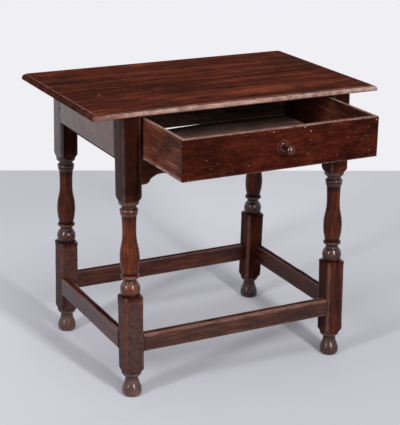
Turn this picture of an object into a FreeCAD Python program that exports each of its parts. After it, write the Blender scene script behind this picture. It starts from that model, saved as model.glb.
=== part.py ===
import FreeCAD, Part
import math
import os
import re
import Sketcher
from FreeCAD import Placement, Rotation, Vector

# A joined oak tavern table: a two-board thumb-moulded top on four turned legs that lean
# outward front and back, box stretchers flush with the legs, and one nailed drawer.
#
# Frame: +Z up, +X to the right of someone who faces the drawer, -Y towards them.
# The origin is on the floor, under the middle of the table with its drawer drawn out.
# Lengths are millimetres and angles are degrees.

SIZES = [
    # overall
    ("height", 710, "floor to top surface"),
    ("frame_width", 614, "over the outer faces of the legs, left to right"),
    ("frame_depth", 435, "over the outer faces of the legs, just under the top"),
    ("rake", 1.9, "lean of each leg, out from front to back"),
    ("floor_cut", 2, "how far the foot profile runs on below the sole"),
    # top
    ("top_thick", 12, "thickness of the top boards"),
    ("top_width", 766, "top, left to right"),
    ("top_front_over", 13, "top beyond the frame in front"),
    ("top_back_over", 30, "top beyond the frame behind"),
    ("front_board_wide", 234, "width of the front board"),
    ("board_gap", 0.4, "shrinkage line between the boards"),
    ("thumb_round", 8, "radius of the thumb moulding"),
    ("thumb_step", 1.5, "height of the fillet above the thumb"),
    ("thumb_flat", 1, "width of the flat under that fillet"),
    # legs
    ("leg_square", 48, "side of the leg blank"),
    ("leg_arris", 1.4, "rubbed rounding of the leg corners"),
    ("corner_clear", 0.3, "turning radius beyond the corner of the blank"),
    ("swing", 42, "outer radius of the waste that is turned away"),
    # foot, heights from the floor
    ("sole_round", 18.5, "radius of the sole"),
    ("foot_round", 24.3, "radius of the foot at its belly"),
    ("foot_belly", 10, "height of the belly"),
    ("ankle_round", 16, "radius of the ankle"),
    ("ankle_low", 48, "height where the ankle straightens"),
    ("ankle_high", 51, "height of the top of the ankle"),
    ("cuff_round", 18, "radius where the cuff starts"),
    ("cuff_high", 61, "height where the cuff meets its fillet"),
    ("fillet_high", 65, "height of the top of that fillet"),
    ("step_round", 25, "radius of the fillets beside the blocks"),
    ("shoulder_round", 27, "radius where the block shoulders start"),
    ("low_block_end", 79, "height where the lower block is square"),
    # turning above the lower block, heights from the block's top
    ("low_block_top", 250, "height where the lower block stops being square"),
    ("shoulder_rise", 8, "rise of the lower block's shoulder"),
    ("bulb_foot_round", 21, "radius at the foot of the bulb"),
    ("bulb_round", 24.4, "radius of the bulb"),
    ("bulb_mid", 24, "height of the bulb's middle"),
    ("bulb_top_round", 18.5, "radius at the top of the bulb"),
    ("bulb_top", 40.5, "height of the bulb's top"),
    ("waist_round", 15.5, "radius of the waist over the bulb"),
    ("waist_mid", 46, "height of the waist"),
    ("low_ring_seat", 17.8, "radius that the lower ring stands on"),
    ("low_ring_start", 51, "height where the lower ring starts"),
    ("low_ring_thick", 10, "thickness of the lower ring"),
    ("vase_foot", 64, "height where the vase starts"),
    ("vase_foot_round", 19, "radius of the vase at its foot"),
    ("vase_belly", 102, "height of the vase's belly"),
    ("vase_belly_round", 24, "radius of the vase's belly"),
    ("vase_neck", 164, "height of the vase's neck"),
    ("vase_neck_round", 16.8, "radius of the vase's neck"),
    # turning below the upper block, depths from the block's end
    ("up_block_end", 511, "height where the upper block stops being square"),
    ("up_fillet", 16, "depth of the fillet under the block"),
    ("up_fillet_end", 21.5, "depth where that fillet ends"),
    ("collar_round", 17.5, "radius beside the upper ring"),
    ("collar_top", 29, "depth where the collar starts"),
    ("up_ring_end", 46, "depth where the upper ring ends"),
    ("up_ring_thick", 9.5, "thickness of the upper ring"),
    ("bead_round", 20.7, "radius of the fillet under the upper ring"),
    ("bead_end", 51, "depth where that fillet ends"),
    ("vase_top", 56, "depth where the vase ends"),
    ("vase_top_round", 18.1, "radius of the vase at its top"),
    # rails
    ("rail_depth", 105, "height of the end and back rails"),
    ("rail_thick", 20, "thickness of all the rails"),
    ("drawer_rail_depth", 39, "height of the rail under the drawer"),
    ("bracket_drop", 21, "how far its brackets hang below it"),
    ("bracket_flat", 8, "flat at the foot of a bracket"),
    ("bracket_bulge", 12, "width of the bracket's convex curve"),
    ("bracket_rise", 10, "height of the bracket's convex curve"),
    ("bracket_cove", 27, "width of the bracket's hollow"),
    ("stretcher_low", 117, "floor to the underside of the front stretcher"),
    ("stretcher_depth", 43.5, "height of the front stretcher"),
    ("end_stretcher_low", 115, "floor to the undersides of the end stretchers"),
    ("end_stretcher_depth", 46, "height of the end stretchers"),
    ("back_stretcher_low", 113, "floor to the underside of the back stretcher"),
    ("back_stretcher_depth", 46, "height of the back stretcher"),
    ("stretcher_thick", 20, "thickness of a stretcher"),
    ("rail_arris", 0.8, "rounding along the rails and stretchers"),
    # tenons and pegs
    ("tenon_thick", 9, "thickness of every tenon"),
    ("tenon_long", 30, "length of every tenon"),
    ("tenon_inset", 6, "outer face of the leg to the cheek of the tenon"),
    ("tenon_edge", 5, "rail beyond its tenon, at the lower edge"),
    ("tenon_haunch", 16, "deep rail beyond its tenon, at the upper edge"),
    ("tenon_fit", 0.1, "clearance round a tenon"),
    ("mortise_end", 1, "mortise deeper than its tenon"),
    ("peg_round", 3, "radius of the frame pegs"),
    ("peg_long", 27, "length of the frame pegs"),
    ("peg_proud", 0.5, "how far a peg stands out"),
    ("peg_fit", 0.05, "clearance round a peg"),
    ("peg_set_in", 8, "peg beyond the shoulder of its tenon"),
    ("rail_peg_low", 34, "lower pegs above the edge of a deep rail"),
    ("rail_peg_high", 74, "upper pegs above the edge of a deep rail"),
    ("drawer_rail_peg", 34, "peg above the foot of the drawer rail's brackets"),
    ("top_peg_round", 3.5, "radius of the pegs that hold the top"),
    ("top_peg_long", 42, "length of the pegs that hold the top"),
    ("top_peg_end_space", 110, "pegs in the end rails, either side of the middle"),
    ("top_peg_back_space", 100, "pegs in the back rail, either side of the middle"),
    # drawer
    ("drawer_out", 199, "how far the drawer stands open"),
    ("drawer_high", 97, "height of the drawer"),
    ("drawer_side_gap", 5.5, "drawer to leg, each side"),
    ("drawer_stop_gap", 1.5, "drawer to back rail when it is shut"),
    ("run_gap", 0.3, "drawer to what it runs on"),
    ("front_thick", 12, "thickness of the drawer front"),
    ("front_lip", 5, "drawer front left outside its rabbets"),
    ("side_thick", 8, "thickness of the drawer sides"),
    ("drawer_back_thick", 8, "thickness of the drawer back"),
    ("bottom_thick", 6, "thickness of the drawer bottom"),
    ("bottom_split", 170, "width of the front board of the drawer bottom"),
    ("bottom_gap", 0.4, "shrinkage line between the boards of the bottom"),
    ("crack", 9.5, "drawer back to the bottom, where the bottom has split away at the left"),
    ("crack_start", 95, "where the split starts to run back, left of the middle"),
    ("crack_end", 58, "where it reaches the rear of the drawer, right of the middle"),
    ("drawer_arris", 1, "rounding of the drawer's edges"),
    # knob
    ("knob_rise", 52, "knob above the bottom of the drawer"),
    ("flange_round", 12, "radius of the knob's flange"),
    ("flange_thick", 4, "thickness of the knob's flange"),
    ("knob_neck_round", 5.5, "radius of the knob's neck"),
    ("knob_neck", 15, "neck in front of the drawer"),
    ("knob_head_round", 10.8, "radius of the knob's head"),
    ("knob_head", 29, "middle of the head in front of the drawer"),
    ("knob_long", 40, "length of the knob in front of the drawer"),
    ("knob_tip_round", 4, "radius of the button on the knob's end"),
    ("shank_round", 4.5, "radius of the knob's shank"),
    ("shank_past", 5, "shank inside the drawer"),
    ("shank_fit", 0.1, "clearance round the shank"),
    # drawer runners
    ("bearer_deep", 18, "height of the bearer that carries the drawer"),
    ("bearer_under", 9, "bearer under the drawer, inside the leg"),
    ("guide_high", 18, "height of the guide beside the drawer"),
    ("guide_gap", 1.5, "guide to drawer side"),
    ("runner_fit", 0.2, "runner to the legs and rails round it"),
    ("bearer_lap", 14, "bearer under the back rail"),
    # nails
    ("nail_round", 1.4, "radius of a nail's shank"),
    ("nail_head_round", 3, "radius of a nail's head"),
    ("nail_head_thick", 0.7, "thickness of a nail's head"),
    ("nail_fit", 0.05, "clearance round a nail"),
    ("nail_bite", 16, "nail beyond the board that it holds"),
    ("runner_nail_bite", 12, "runner nail inside the end rail"),
    ("runner_nail_space", 120, "space between the runner nails"),
    ("drawer_nail_edge", 16, "nails in from the edges of the drawer sides"),
    ("bottom_nail_space", 90, "space between the nails of the bottom"),
]

ALIASES = {alias for alias, value, note in SIZES}

# Lengths that follow from the sizes.  Depth is measured from the middle of the frame.
UNDERSIDE = "(height - top_thick)"
LEG_X = "(frame_width / 2 - leg_square / 2)"
LEG_FOOT_Y = f"(frame_depth / 2 + {UNDERSIDE} * tan(rake) - leg_square / cos(rake) / 2)"
RAIL_LOW = f"({UNDERSIDE} - rail_depth)"
BRACKET_LOW = f"({RAIL_LOW} - drawer_rail_depth - bracket_drop)"
OPENING = "(frame_width - 2 * leg_square)"
CORNER = "(leg_square * sqrt(2) / 2 + corner_clear)"

DRAWER_WIDE = f"({OPENING} - 2 * drawer_side_gap)"
DRAWER_LOW = f"({RAIL_LOW} + run_gap)"
DRAWER_TOP = f"({DRAWER_LOW} + drawer_high)"
FACE_SHUT = f"(-frame_depth / 2 - ({UNDERSIDE} - {RAIL_LOW}) * tan(rake))"
FACE = f"({FACE_SHUT} - drawer_out)"
BACK_RAIL_INSIDE = (f"(frame_depth / 2 + ({UNDERSIDE} - {DRAWER_TOP}) * tan(rake)"
                    " - rail_thick / cos(rake))")
DRAWER_REAR = f"({BACK_RAIL_INSIDE} - drawer_stop_gap - drawer_out)"
DRAWER_BACK_INSIDE = f"({DRAWER_REAR} - drawer_back_thick)"
KNOB_Z = f"({DRAWER_LOW} + knob_rise)"

TOP_FRONT = "(-frame_depth / 2 - top_front_over)"
TOP_BACK = "(frame_depth / 2 + top_back_over)"
# The frame's middle stands behind the origin by half of what the open drawer adds in front.
MID_Y = f"(-({TOP_BACK} + {FACE} - knob_long) / 2)"

doc = FreeCAD.newDocument("tavern_table")
sizes = doc.addObject("Spreadsheet::Sheet", "sizes")
for row, (alias, value, note) in enumerate(SIZES, start=1):
    sizes.set(f"A{row}", note)
    sizes.set(f"B{row}", str(value))
    sizes.setAlias(f"B{row}", alias)
doc.recompute()

nodes = {}
cutters = {}


def cells(text):
    """Turn an expression in bare size names into one that reads the sheet."""
    return re.sub(r"[a-z_]+", lambda m: f"sizes.{m[0]}" if m[0] in ALIASES else m[0], str(text))


def number(text):
    value = sizes.evalExpression(cells(text))
    return float(getattr(value, "Value", value))


def bind(item, prop, text):
    item.setExpression(prop, cells(text))


def place(item, x="0", y="0", z="0", axis=None, angle="0"):
    """Place an object in the frame; y is measured from the middle of the table."""
    rotation = Rotation(axis, number(angle)) if axis else Rotation()
    item.Placement = Placement(Vector(number(x), 0, number(z)), rotation)
    bind(item, "Placement.Base.x", x)
    bind(item, "Placement.Base.y", f"{MID_Y} + {y}")
    bind(item, "Placement.Base.z", z)
    if axis and angle not in ("90", "-90"):
        bind(item, "Placement.Rotation.Angle", angle)


def new_body(name):
    body = doc.addObject("PartDesign::Body", name)
    place(body)
    return body


def new_sketch(body, name, plane, offset=None):
    sketch = body.newObject("Sketcher::SketchObject", name)
    role = f"{plane}_Plane"
    support = [item for item in body.Origin.OriginFeatures if item.Role == role][0]
    sketch.AttachmentSupport = [(support, "")]
    sketch.MapMode = "FlatFace"
    if offset:
        bind(sketch, "AttachmentOffset.Base.z", offset)
    return sketch


def level_centre(near, far):
    """Centre of the arc from near to far whose centre is level with near."""
    rise = far[1] - near[1]
    return (near[0] ** 2 - far[0] ** 2 - rise ** 2) / (2 * (near[0] - far[0])), near[1]


def arc_centre(start, end, bend):
    """Centre of the arc from one corner to the next that is bent as outline() says."""
    if bend == "half":
        return start[0], (start[1] + end[1]) / 2
    near, far = (start, end) if bend.endswith("here") else (end, start)
    if bend.startswith("level"):
        return level_centre(near, far)
    return level_centre(near[::-1], far[::-1])[::-1]


def add_arc(sketch, start, end, bend):
    """Add an arc between two corners; return its index and where the start corner is on it."""
    centre = arc_centre(start, end, bend)
    from_angle = math.atan2(start[1] - centre[1], start[0] - centre[0])
    to_angle = math.atan2(end[1] - centre[1], end[0] - centre[0])
    radius = math.dist(centre, start)
    turn = (to_angle - from_angle) % (2 * math.pi)
    forward = turn < math.pi + 0.001
    if not forward:
        from_angle, to_angle = to_angle, from_angle
    circle = Part.Circle(Vector(*centre, 0), Vector(0, 0, 1), radius)
    index = sketch.addGeometry(Part.ArcOfCircle(circle, from_angle, to_angle))
    here = 1 if forward else 2
    line_up = "Horizontal" if bend.startswith("level") else "Vertical"
    spot = 3 - here if bend.endswith("next") else here
    sketch.addConstraint(Sketcher.Constraint(line_up, index, 3, index, spot))
    return index, here


def outline(sketch, corners):
    """Draw a closed outline.  A corner is (x, y) or (x, y, bend), where bend shapes the edge
    that leaves it: an arc whose centre is level with this corner ("level_here") or with the
    next one ("level_next"), one whose centre is straight above or below this corner
    ("plumb_here") or the next one ("plumb_next"), or a half round ("half")."""
    spots = [(number(corner[0]), number(corner[1])) for corner in corners]
    edges = []
    for index, corner in enumerate(corners):
        start = spots[index]
        end = spots[(index + 1) % len(spots)]
        if len(corner) == 3:
            edges.append(add_arc(sketch, start, end, corner[2]))
        else:
            line = Part.LineSegment(Vector(*start, 0), Vector(*end, 0))
            edges.append((sketch.addGeometry(line), 1))
    for index, (edge, here) in enumerate(edges):
        last, last_here = edges[index - 1]
        sketch.addConstraint(Sketcher.Constraint("Coincident", last, 3 - last_here, edge, here))
        for kind, text, spot in (("X", corners[index][0], spots[index][0]),
                                 ("Y", corners[index][1], spots[index][1])):
            pin = Sketcher.Constraint(f"Distance{kind}", -1, 1, edge, here, spot)
            added = sketch.addConstraint(pin)
            sketch.renameConstraint(added, f"corner_{index}_{kind.lower()}")
            bind(sketch, f"Constraints.corner_{index}_{kind.lower()}", text)


def pad(body, name, sketch, length, symmetric=False):
    feature = body.newObject("PartDesign::Pad", name)
    feature.Profile = sketch
    feature.SideType = "Symmetric" if symmetric else "One side"
    feature.Length = number(length)
    bind(feature, "Length", length)
    doc.recompute()
    return feature


def pad_outline(body, name, plane, corners, length, offset=None, symmetric=False):
    sketch = new_sketch(body, f"{name}_outline", plane, offset)
    outline(sketch, corners)
    return pad(body, name, sketch, length, symmetric)


def pocket_outline(body, name, plane, corners, offset=None, flip=False, length=None):
    """Cut an outline away; the cut has to make the body smaller."""
    before = body.Shape.Volume
    sketch = new_sketch(body, f"{name}_outline", plane, offset)
    outline(sketch, corners)
    feature = body.newObject("PartDesign::Pocket", name)
    feature.Profile = sketch
    feature.Reversed = flip
    if length:
        feature.Length = number(length)
        bind(feature, "Length", length)
    else:
        feature.Type = "ThroughAll"
    doc.recompute()
    if feature.Shape.Volume > before - 1:
        raise ValueError(f"{name} cuts nothing away")
    return feature


def turn_away(body, name, corners):
    """Turn waste away round the body's own Z axis."""
    before = body.Shape.Volume
    sketch = new_sketch(body, f"{name}_outline", "XZ")
    outline(sketch, corners)
    groove = body.newObject("PartDesign::Groove", name)
    groove.Profile = sketch
    groove.ReferenceAxis = (sketch, ["V_Axis"])
    groove.Angle = 360
    doc.recompute()
    if groove.Shape.Volume > before - 1:
        raise ValueError(f"{name} cuts nothing away")
    return groove


def rectangle(x_low, x_high, y_low, y_high):
    return [(x_low, y_low), (x_high, y_low), (x_high, y_high), (x_low, y_high)]


def round_edges(body, name, feature, radius, wanted):
    """Round the edges of a feature for which wanted(edge) is true."""
    edges = [f"Edge{index}" for index, edge in enumerate(feature.Shape.Edges, start=1)
             if wanted(edge)]
    fillet = body.newObject("PartDesign::Fillet", name)
    fillet.Base = (feature, edges)
    fillet.Radius = number(radius)
    bind(fillet, "Radius", radius)
    doc.recompute()
    return fillet


def runs_along(edge, axis, slack=0.05):
    """True for a straight edge that runs along an axis, within the lean of a leg."""
    if edge.Curve.TypeId != "Part::GeomLine":
        return False
    return abs(edge.Curve.Direction.dot(axis)) > 1 - slack


X_AXIS = Vector(1, 0, 0)
Y_AXIS = Vector(0, 1, 0)
Z_AXIS = Vector(0, 0, 1)


def cylinder(name, radius, length, axis, x, y, z):
    """A cylinder that starts at a point and runs along +X, -X, +Y, -Y, +Z or -Z."""
    item = doc.addObject("Part::Cylinder", name)
    bind(item, "Radius", radius)
    bind(item, "Height", length)
    turns = {"+X": (Y_AXIS, "90"), "-X": (Y_AXIS, "-90"), "+Y": (X_AXIS, "-90"),
             "-Y": (X_AXIS, "90"), "+Z": (None, "0"), "-Z": (X_AXIS, "180")}
    turn, angle = turns[axis]
    place(item, x, y, z, turn, angle)
    return item


def cut_from(pieces, cutter):
    for piece in pieces:
        cutters.setdefault(piece, []).append(cutter)


def finish_node(name, item):
    """Take the cutters that belong to a piece out of it, and name the result."""
    tools = cutters.get(name, [])
    if tools:
        tool = tools[0]
        if len(tools) > 1:
            tool = doc.addObject("Part::MultiFuse", f"{name}_waste")
            tool.Shapes = tools
        blank = item
        item = doc.addObject("Part::Cut", f"{name}_cut")
        item.Base = blank
        item.Tool = tool
    item.Label = name
    nodes[name] = item


def group_node(name, items):
    """Separate solids of one kind in one node."""
    group = doc.addObject("Part::Compound", f"{name}_group")
    group.Links = items
    group.Label = name
    nodes[name] = group


def outer_y(z, side):
    """Outer face of the legs at a height; side is "-" in front and "+" behind."""
    return f"{side}(frame_depth / 2 + ({UNDERSIDE} - ({z})) * tan(rake))"


def inner_y(z, side, inset):
    """A plane parallel to that face, inset from it."""
    return f"{side}(frame_depth / 2 + ({UNDERSIDE} - ({z})) * tan(rake) - ({inset}) / cos(rake))"


# ---------------------------------------------------------------- legs

def turned_leg(name, x, side):
    """A square blank, cut level at both ends and turned between and below its blocks."""
    body = doc.addObject("PartDesign::Body", f"{name}_blank")
    lean = "-rake" if side == "-" else "rake"
    place(body, x, f"{side}{LEG_FOOT_Y}", "0", X_AXIS, lean)
    half = "leg_square / 2"
    slope = "tan(rake)" if side == "-" else "(-tan(rake))"
    high = f"{UNDERSIDE} / cos(rake)"
    blank = pad_outline(body, f"{name}_square", "YZ", [
        (f"-{half}", f"-{half} * {slope}"),
        (half, f"{half} * {slope}"),
        (half, f"{high} + {half} * {slope}"),
        (f"-{half}", f"{high} - {half} * {slope}"),
    ], "leg_square", symmetric=True)
    round_edges(body, f"{name}_arris", blank, "leg_arris", lambda edge: runs_along(edge, Z_AXIS))
    turn_away(body, f"{name}_foot", foot_waste())
    turn_away(body, f"{name}_baluster", baluster_waste())
    return body


def foot_waste():
    """Outline of what is turned away round the foot, from the floor up."""
    return [
        ("swing", "-floor_cut"),
        ("sole_round", "-floor_cut"),
        ("sole_round", "0 * floor_cut", "level_next"),
        ("foot_round", "foot_belly", "level_here"),
        ("(foot_round + ankle_round) / 2", "(foot_belly + ankle_low) / 2", "level_next"),
        ("ankle_round", "ankle_low"),
        ("ankle_round", "ankle_high"),
        ("cuff_round", "ankle_high", "level_next"),
        ("step_round", "cuff_high"),
        ("step_round", "fillet_high"),
        ("shoulder_round", "fillet_high", "level_next"),
        (CORNER, "low_block_end"),
        ("swing", "low_block_end"),
    ]


def baluster_waste():
    """Outline of what is turned away between the blocks, from the lower block up."""
    def over(size):
        return f"low_block_top + {size}"

    def under(size):
        return f"up_block_end - {size}"

    return [
        ("swing", "low_block_top"),
        (CORNER, "low_block_top", "level_here"),
        ("shoulder_round", over("shoulder_rise")),
        ("bulb_foot_round", over("shoulder_rise"), "level_next"),
        ("bulb_round", over("bulb_mid"), "level_here"),
        ("bulb_top_round", over("bulb_top"), "level_next"),
        ("waist_round", over("waist_mid"), "level_here"),
        ("low_ring_seat", over("low_ring_start"), "half"),
        ("low_ring_seat", over("low_ring_start + low_ring_thick")),
        ("low_ring_seat", over("vase_foot")),
        ("vase_foot_round", over("vase_foot"), "level_next"),
        ("vase_belly_round", over("vase_belly"), "level_here"),
        ("(vase_belly_round + vase_neck_round) / 2", over("(vase_belly + vase_neck) / 2"),
         "level_next"),
        ("vase_neck_round", over("vase_neck"), "level_here"),
        ("vase_top_round", under("vase_top")),
        ("bead_round", under("bead_end")),
        ("bead_round", under("up_ring_end")),
        ("collar_round", under("up_ring_end"), "half"),
        ("collar_round", under("up_ring_end + up_ring_thick")),
        ("collar_round", under("collar_top"), "level_next"),
        ("step_round", under("up_fillet_end")),
        ("step_round", under("up_fillet")),
        ("shoulder_round", under("up_fillet"), "level_next"),
        (CORNER, "up_block_end"),
        ("swing", "up_block_end"),
    ]


# ---------------------------------------------------------------- rails and stretchers

def cross_member(name, side, low, high, thick):
    """A member that runs left to right in the plane of two legs: board and tenons."""
    body = new_body(f"{name}_board")
    section = [
        (outer_y(low, side), low),
        (inner_y(low, side, thick), low),
        (inner_y(high, side, thick), high),
        (outer_y(high, side), high),
    ]
    board = pad_outline(body, f"{name}_section", "YZ", section, OPENING, symmetric=True)
    round_edges(body, f"{name}_arris", board, "rail_arris", lambda edge: runs_along(edge, X_AXIS))
    return body


def cross_tenon(body, name, side, low, high, long, fit="0"):
    """The tenon strip through a cross member, or with a fit, the bar that cuts its mortises."""
    near = f"tenon_inset - ({fit})"
    far = f"tenon_inset + tenon_thick + ({fit})"
    low = f"{low} - ({fit})"
    high = f"{high} + ({fit})"
    section = [
        (inner_y(low, side, near), low),
        (inner_y(low, side, far), low),
        (inner_y(high, side, far), high),
        (inner_y(high, side, near), high),
    ]
    return pad_outline(body, f"{name}_tenons", "YZ", section, f"{OPENING} + 2 * ({long})",
                       symmetric=True)


def end_member(name, side, low, high, thick):
    """A member that runs front to back between two legs, its shoulders cut to their lean."""
    body = new_body(f"{name}_board")
    start = "-frame_width / 2" if side == "-" else f"frame_width / 2 - {thick}"
    board = pad_outline(body, f"{name}_outline", "YZ", [
        (inner_y(low, "-", "leg_square"), low),
        (inner_y(low, "+", "leg_square"), low),
        (inner_y(high, "+", "leg_square"), high),
        (inner_y(high, "-", "leg_square"), high),
    ], thick, offset=start)
    round_edges(body, f"{name}_arris", board, "rail_arris", lambda edge: runs_along(edge, Y_AXIS))
    return body


def end_tenon(body, name, side, low, high, long, fit="0"):
    """The tenon strip through an end member, or with a fit, the bar that cuts its mortises."""
    near = f"tenon_inset - ({fit})"
    far = f"tenon_inset + tenon_thick + ({fit})"
    start = f"-frame_width / 2 + {near}" if side == "-" else f"frame_width / 2 - ({far})"
    reach = f"(leg_square - ({long}))"
    low = f"{low} - ({fit})"
    high = f"{high} + ({fit})"
    return pad_outline(body, f"{name}_tenons", "YZ", [
        (inner_y(low, "-", reach), low),
        (inner_y(low, "+", reach), low),
        (inner_y(high, "+", reach), high),
        (inner_y(high, "-", reach), high),
    ], f"tenon_thick + 2 * ({fit})", offset=start)


def joined_member(name, run, side, low, high, thick, tenon_low, tenon_high, legs):
    """A member with its two tenons, and the mortises for them in two legs."""
    member, tenon = {"cross": (cross_member, cross_tenon), "end": (end_member, end_tenon)}[run]
    body = member(name, side, low, high, thick)
    tenon(body, name, side, tenon_low, tenon_high, "tenon_long")
    mortise = new_body(f"{name}_mortises")
    tenon(mortise, f"{name}_mortise", side, tenon_low, tenon_high,
          "tenon_long + mortise_end", "tenon_fit")
    cut_from(legs, mortise)
    return body


def frame_pegs(name, run, side, heights):
    """Pegs through the mortise and tenon joints of one member."""
    pegs = []
    for end in ("-", "+"):
        for index, height in enumerate(heights):
            if run == "cross":
                axis = "+Y" if side == "-" else "-Y"
                x = f"{end}({OPENING} / 2 + peg_set_in)"
                y = f"{outer_y(height, side)} {side} peg_proud"
                leg = f"leg_{'front' if side == '-' else 'back'}_{'left' if end == '-' else 'right'}"
            else:
                axis = "+X" if side == "-" else "-X"
                x = f"{side}(frame_width / 2 + peg_proud)"
                y = inner_y(height, end, "leg_square - peg_set_in")
                leg = f"leg_{'front' if end == '-' else 'back'}_{'left' if side == '-' else 'right'}"
            word = f"{name}_{'ab'[end == '+']}{index}"
            pegs.append(cylinder(f"{word}_peg", "peg_round", "peg_long", axis, x, y, height))
            hole = cylinder(f"{word}_hole", "peg_round + peg_fit", "peg_long + peg_fit",
                            axis, x, y, height)
            cut_from([name, leg], hole)
    return pegs


# ---------------------------------------------------------------- top

def top_board(name, y_low, y_high, rear):
    """A board with the thumb moulding on its free edges: a full slab with its upper edge
    rounded, and a thinner slab set in on top of it that leaves a small fillet."""
    body = new_body(f"{name}_board")
    inset = "(thumb_round + thumb_flat)"
    half = "top_width / 2"
    slab = pad_outline(body, f"{name}_slab", "XY", rectangle(f"-{half}", half, y_low, y_high),
                       "top_thick - thumb_step", offset=UNDERSIDE)
    level = number(UNDERSIDE) + number("top_thick - thumb_step")
    joint = number(y_low if rear else y_high)

    def free_edge(edge):
        centre = edge.CenterOfMass
        return abs(centre.z - level) < 0.01 and abs(centre.y - joint) > 0.01 and (
            not rear or runs_along(edge, Y_AXIS))

    round_edges(body, f"{name}_thumb", slab, "thumb_round", free_edge)
    low = y_low if rear else f"{y_low} + {inset}"
    pad_outline(body, f"{name}_upper", "XY",
                rectangle(f"-{half} + {inset}", f"{half} - {inset}", low, y_high),
                "thumb_step", offset=f"{UNDERSIDE} + top_thick - thumb_step")
    return body


def top_peg(name, x, y, pieces):
    """A peg driven down through the top into a leg or a rail."""
    peg = cylinder(f"{name}_peg", "top_peg_round", "top_peg_long", "-Z", x, y, "height")
    hole = cylinder(f"{name}_hole", "top_peg_round + peg_fit", "top_peg_long + peg_fit",
                    "-Z", x, y, "height")
    cut_from(pieces, hole)
    return peg


# ---------------------------------------------------------------- drawer

def nail(name, axis, x, y, z, through, bite, pieces):
    """A nail whose head is set flush, and the hole that it leaves in each piece."""
    long = f"{through} + {bite}"
    shank = cylinder(f"{name}_shank", "nail_round", long, axis, x, y, z)
    head = cylinder(f"{name}_head", "nail_head_round", "nail_head_thick", axis, x, y, z)
    whole = doc.addObject("Part::Fuse", f"{name}_nail")
    whole.Base = shank
    whole.Tool = head
    shank_hole = cylinder(f"{name}_bore", "nail_round + nail_fit", f"{long} + nail_fit",
                          axis, x, y, z)
    head_hole = cylinder(f"{name}_sink", "nail_head_round + nail_fit",
                         "nail_head_thick + nail_fit", axis, x, y, z)
    cut_from(pieces, shank_hole)
    cut_from(pieces[:1], head_hole)
    return whole


def drawer_front_board():
    """The front, rabbeted behind for the sides and along the bottom."""
    body = new_body("drawer_front_board")
    half = f"{DRAWER_WIDE} / 2"
    rear = f"{FACE} + front_thick"
    slab = pad_outline(body, "front_slab", "XY", rectangle(f"-{half}", half, FACE, rear),
                       "drawer_high", offset=DRAWER_LOW)
    face_y = number(FACE)
    round_edges(body, "front_arris", slab, "drawer_arris",
                lambda edge: abs(edge.CenterOfMass.y - face_y) < 0.01)
    lip = f"{FACE} + front_lip"
    past = f"{rear} + run_gap"
    for word, near, far in (("left", f"-{half} - run_gap", f"-{half} + side_thick"),
                            ("right", f"{half} - side_thick", f"{half} + run_gap")):
        pocket_outline(body, f"front_rabbet_{word}", "XY", rectangle(near, far, lip, past),
                       offset=DRAWER_LOW, flip=True)
    pocket_outline(body, "front_rabbet_bottom", "XY",
                   rectangle(f"-{half} - run_gap", f"{half} + run_gap", lip, past),
                   offset=DRAWER_LOW, flip=True, length="bottom_thick")
    return body


def drawer_side(name, side):
    body = new_body(f"{name}_board")
    outer = f"{side}{DRAWER_WIDE} / 2"
    inner = f"{side}({DRAWER_WIDE} / 2 - side_thick)"
    low, high = (outer, inner) if side == "-" else (inner, outer)
    slab = pad_outline(body, f"{name}_slab", "XY",
                       rectangle(low, high, f"{FACE} + front_lip", DRAWER_REAR),
                       "drawer_high - bottom_thick", offset=f"{DRAWER_LOW} + bottom_thick")
    top = number(DRAWER_TOP)
    round_edges(body, f"{name}_arris", slab, "drawer_arris",
                lambda edge: abs(edge.CenterOfMass.z - top) < 0.01 and runs_along(edge, Y_AXIS))
    return body


def drawer_back_board():
    body = new_body("drawer_back_board")
    half = f"({DRAWER_WIDE} / 2 - side_thick)"
    slab = pad_outline(body, "back_slab", "XY",
                       rectangle(f"-{half}", half, DRAWER_BACK_INSIDE, DRAWER_REAR),
                       "drawer_high - bottom_thick", offset=f"{DRAWER_LOW} + bottom_thick")
    top = number(DRAWER_TOP)
    round_edges(body, "back_arris", slab, "drawer_arris",
                lambda edge: abs(edge.CenterOfMass.z - top) < 0.01 and runs_along(edge, X_AXIS))
    return body


def bottom_boards():
    """Two boards that lie in the front's rabbet, under the sides and the back, and are nailed
    up into the sides.  The rear one has split away from under the back at the left."""
    half = f"{DRAWER_WIDE} / 2"
    start = f"{FACE} + front_lip"
    split = f"{start} + bottom_split"
    front = new_body("bottom_front_board")
    pad_outline(front, "bottom_front_slab", "XY", rectangle(f"-{half}", half, start, split),
                "bottom_thick", offset=DRAWER_LOW)
    rear = new_body("bottom_rear_board")
    pad_outline(rear, "bottom_rear_slab", "XY", [
        (f"-{half}", f"{split} + bottom_gap"),
        (half, f"{split} + bottom_gap"),
        (half, DRAWER_REAR),
        ("crack_end", DRAWER_REAR),
        ("-crack_start", f"{DRAWER_BACK_INSIDE} - crack"),
        (f"-{half}", f"{DRAWER_BACK_INSIDE} - crack"),
    ], "bottom_thick", offset=DRAWER_LOW)
    return front, rear


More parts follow.
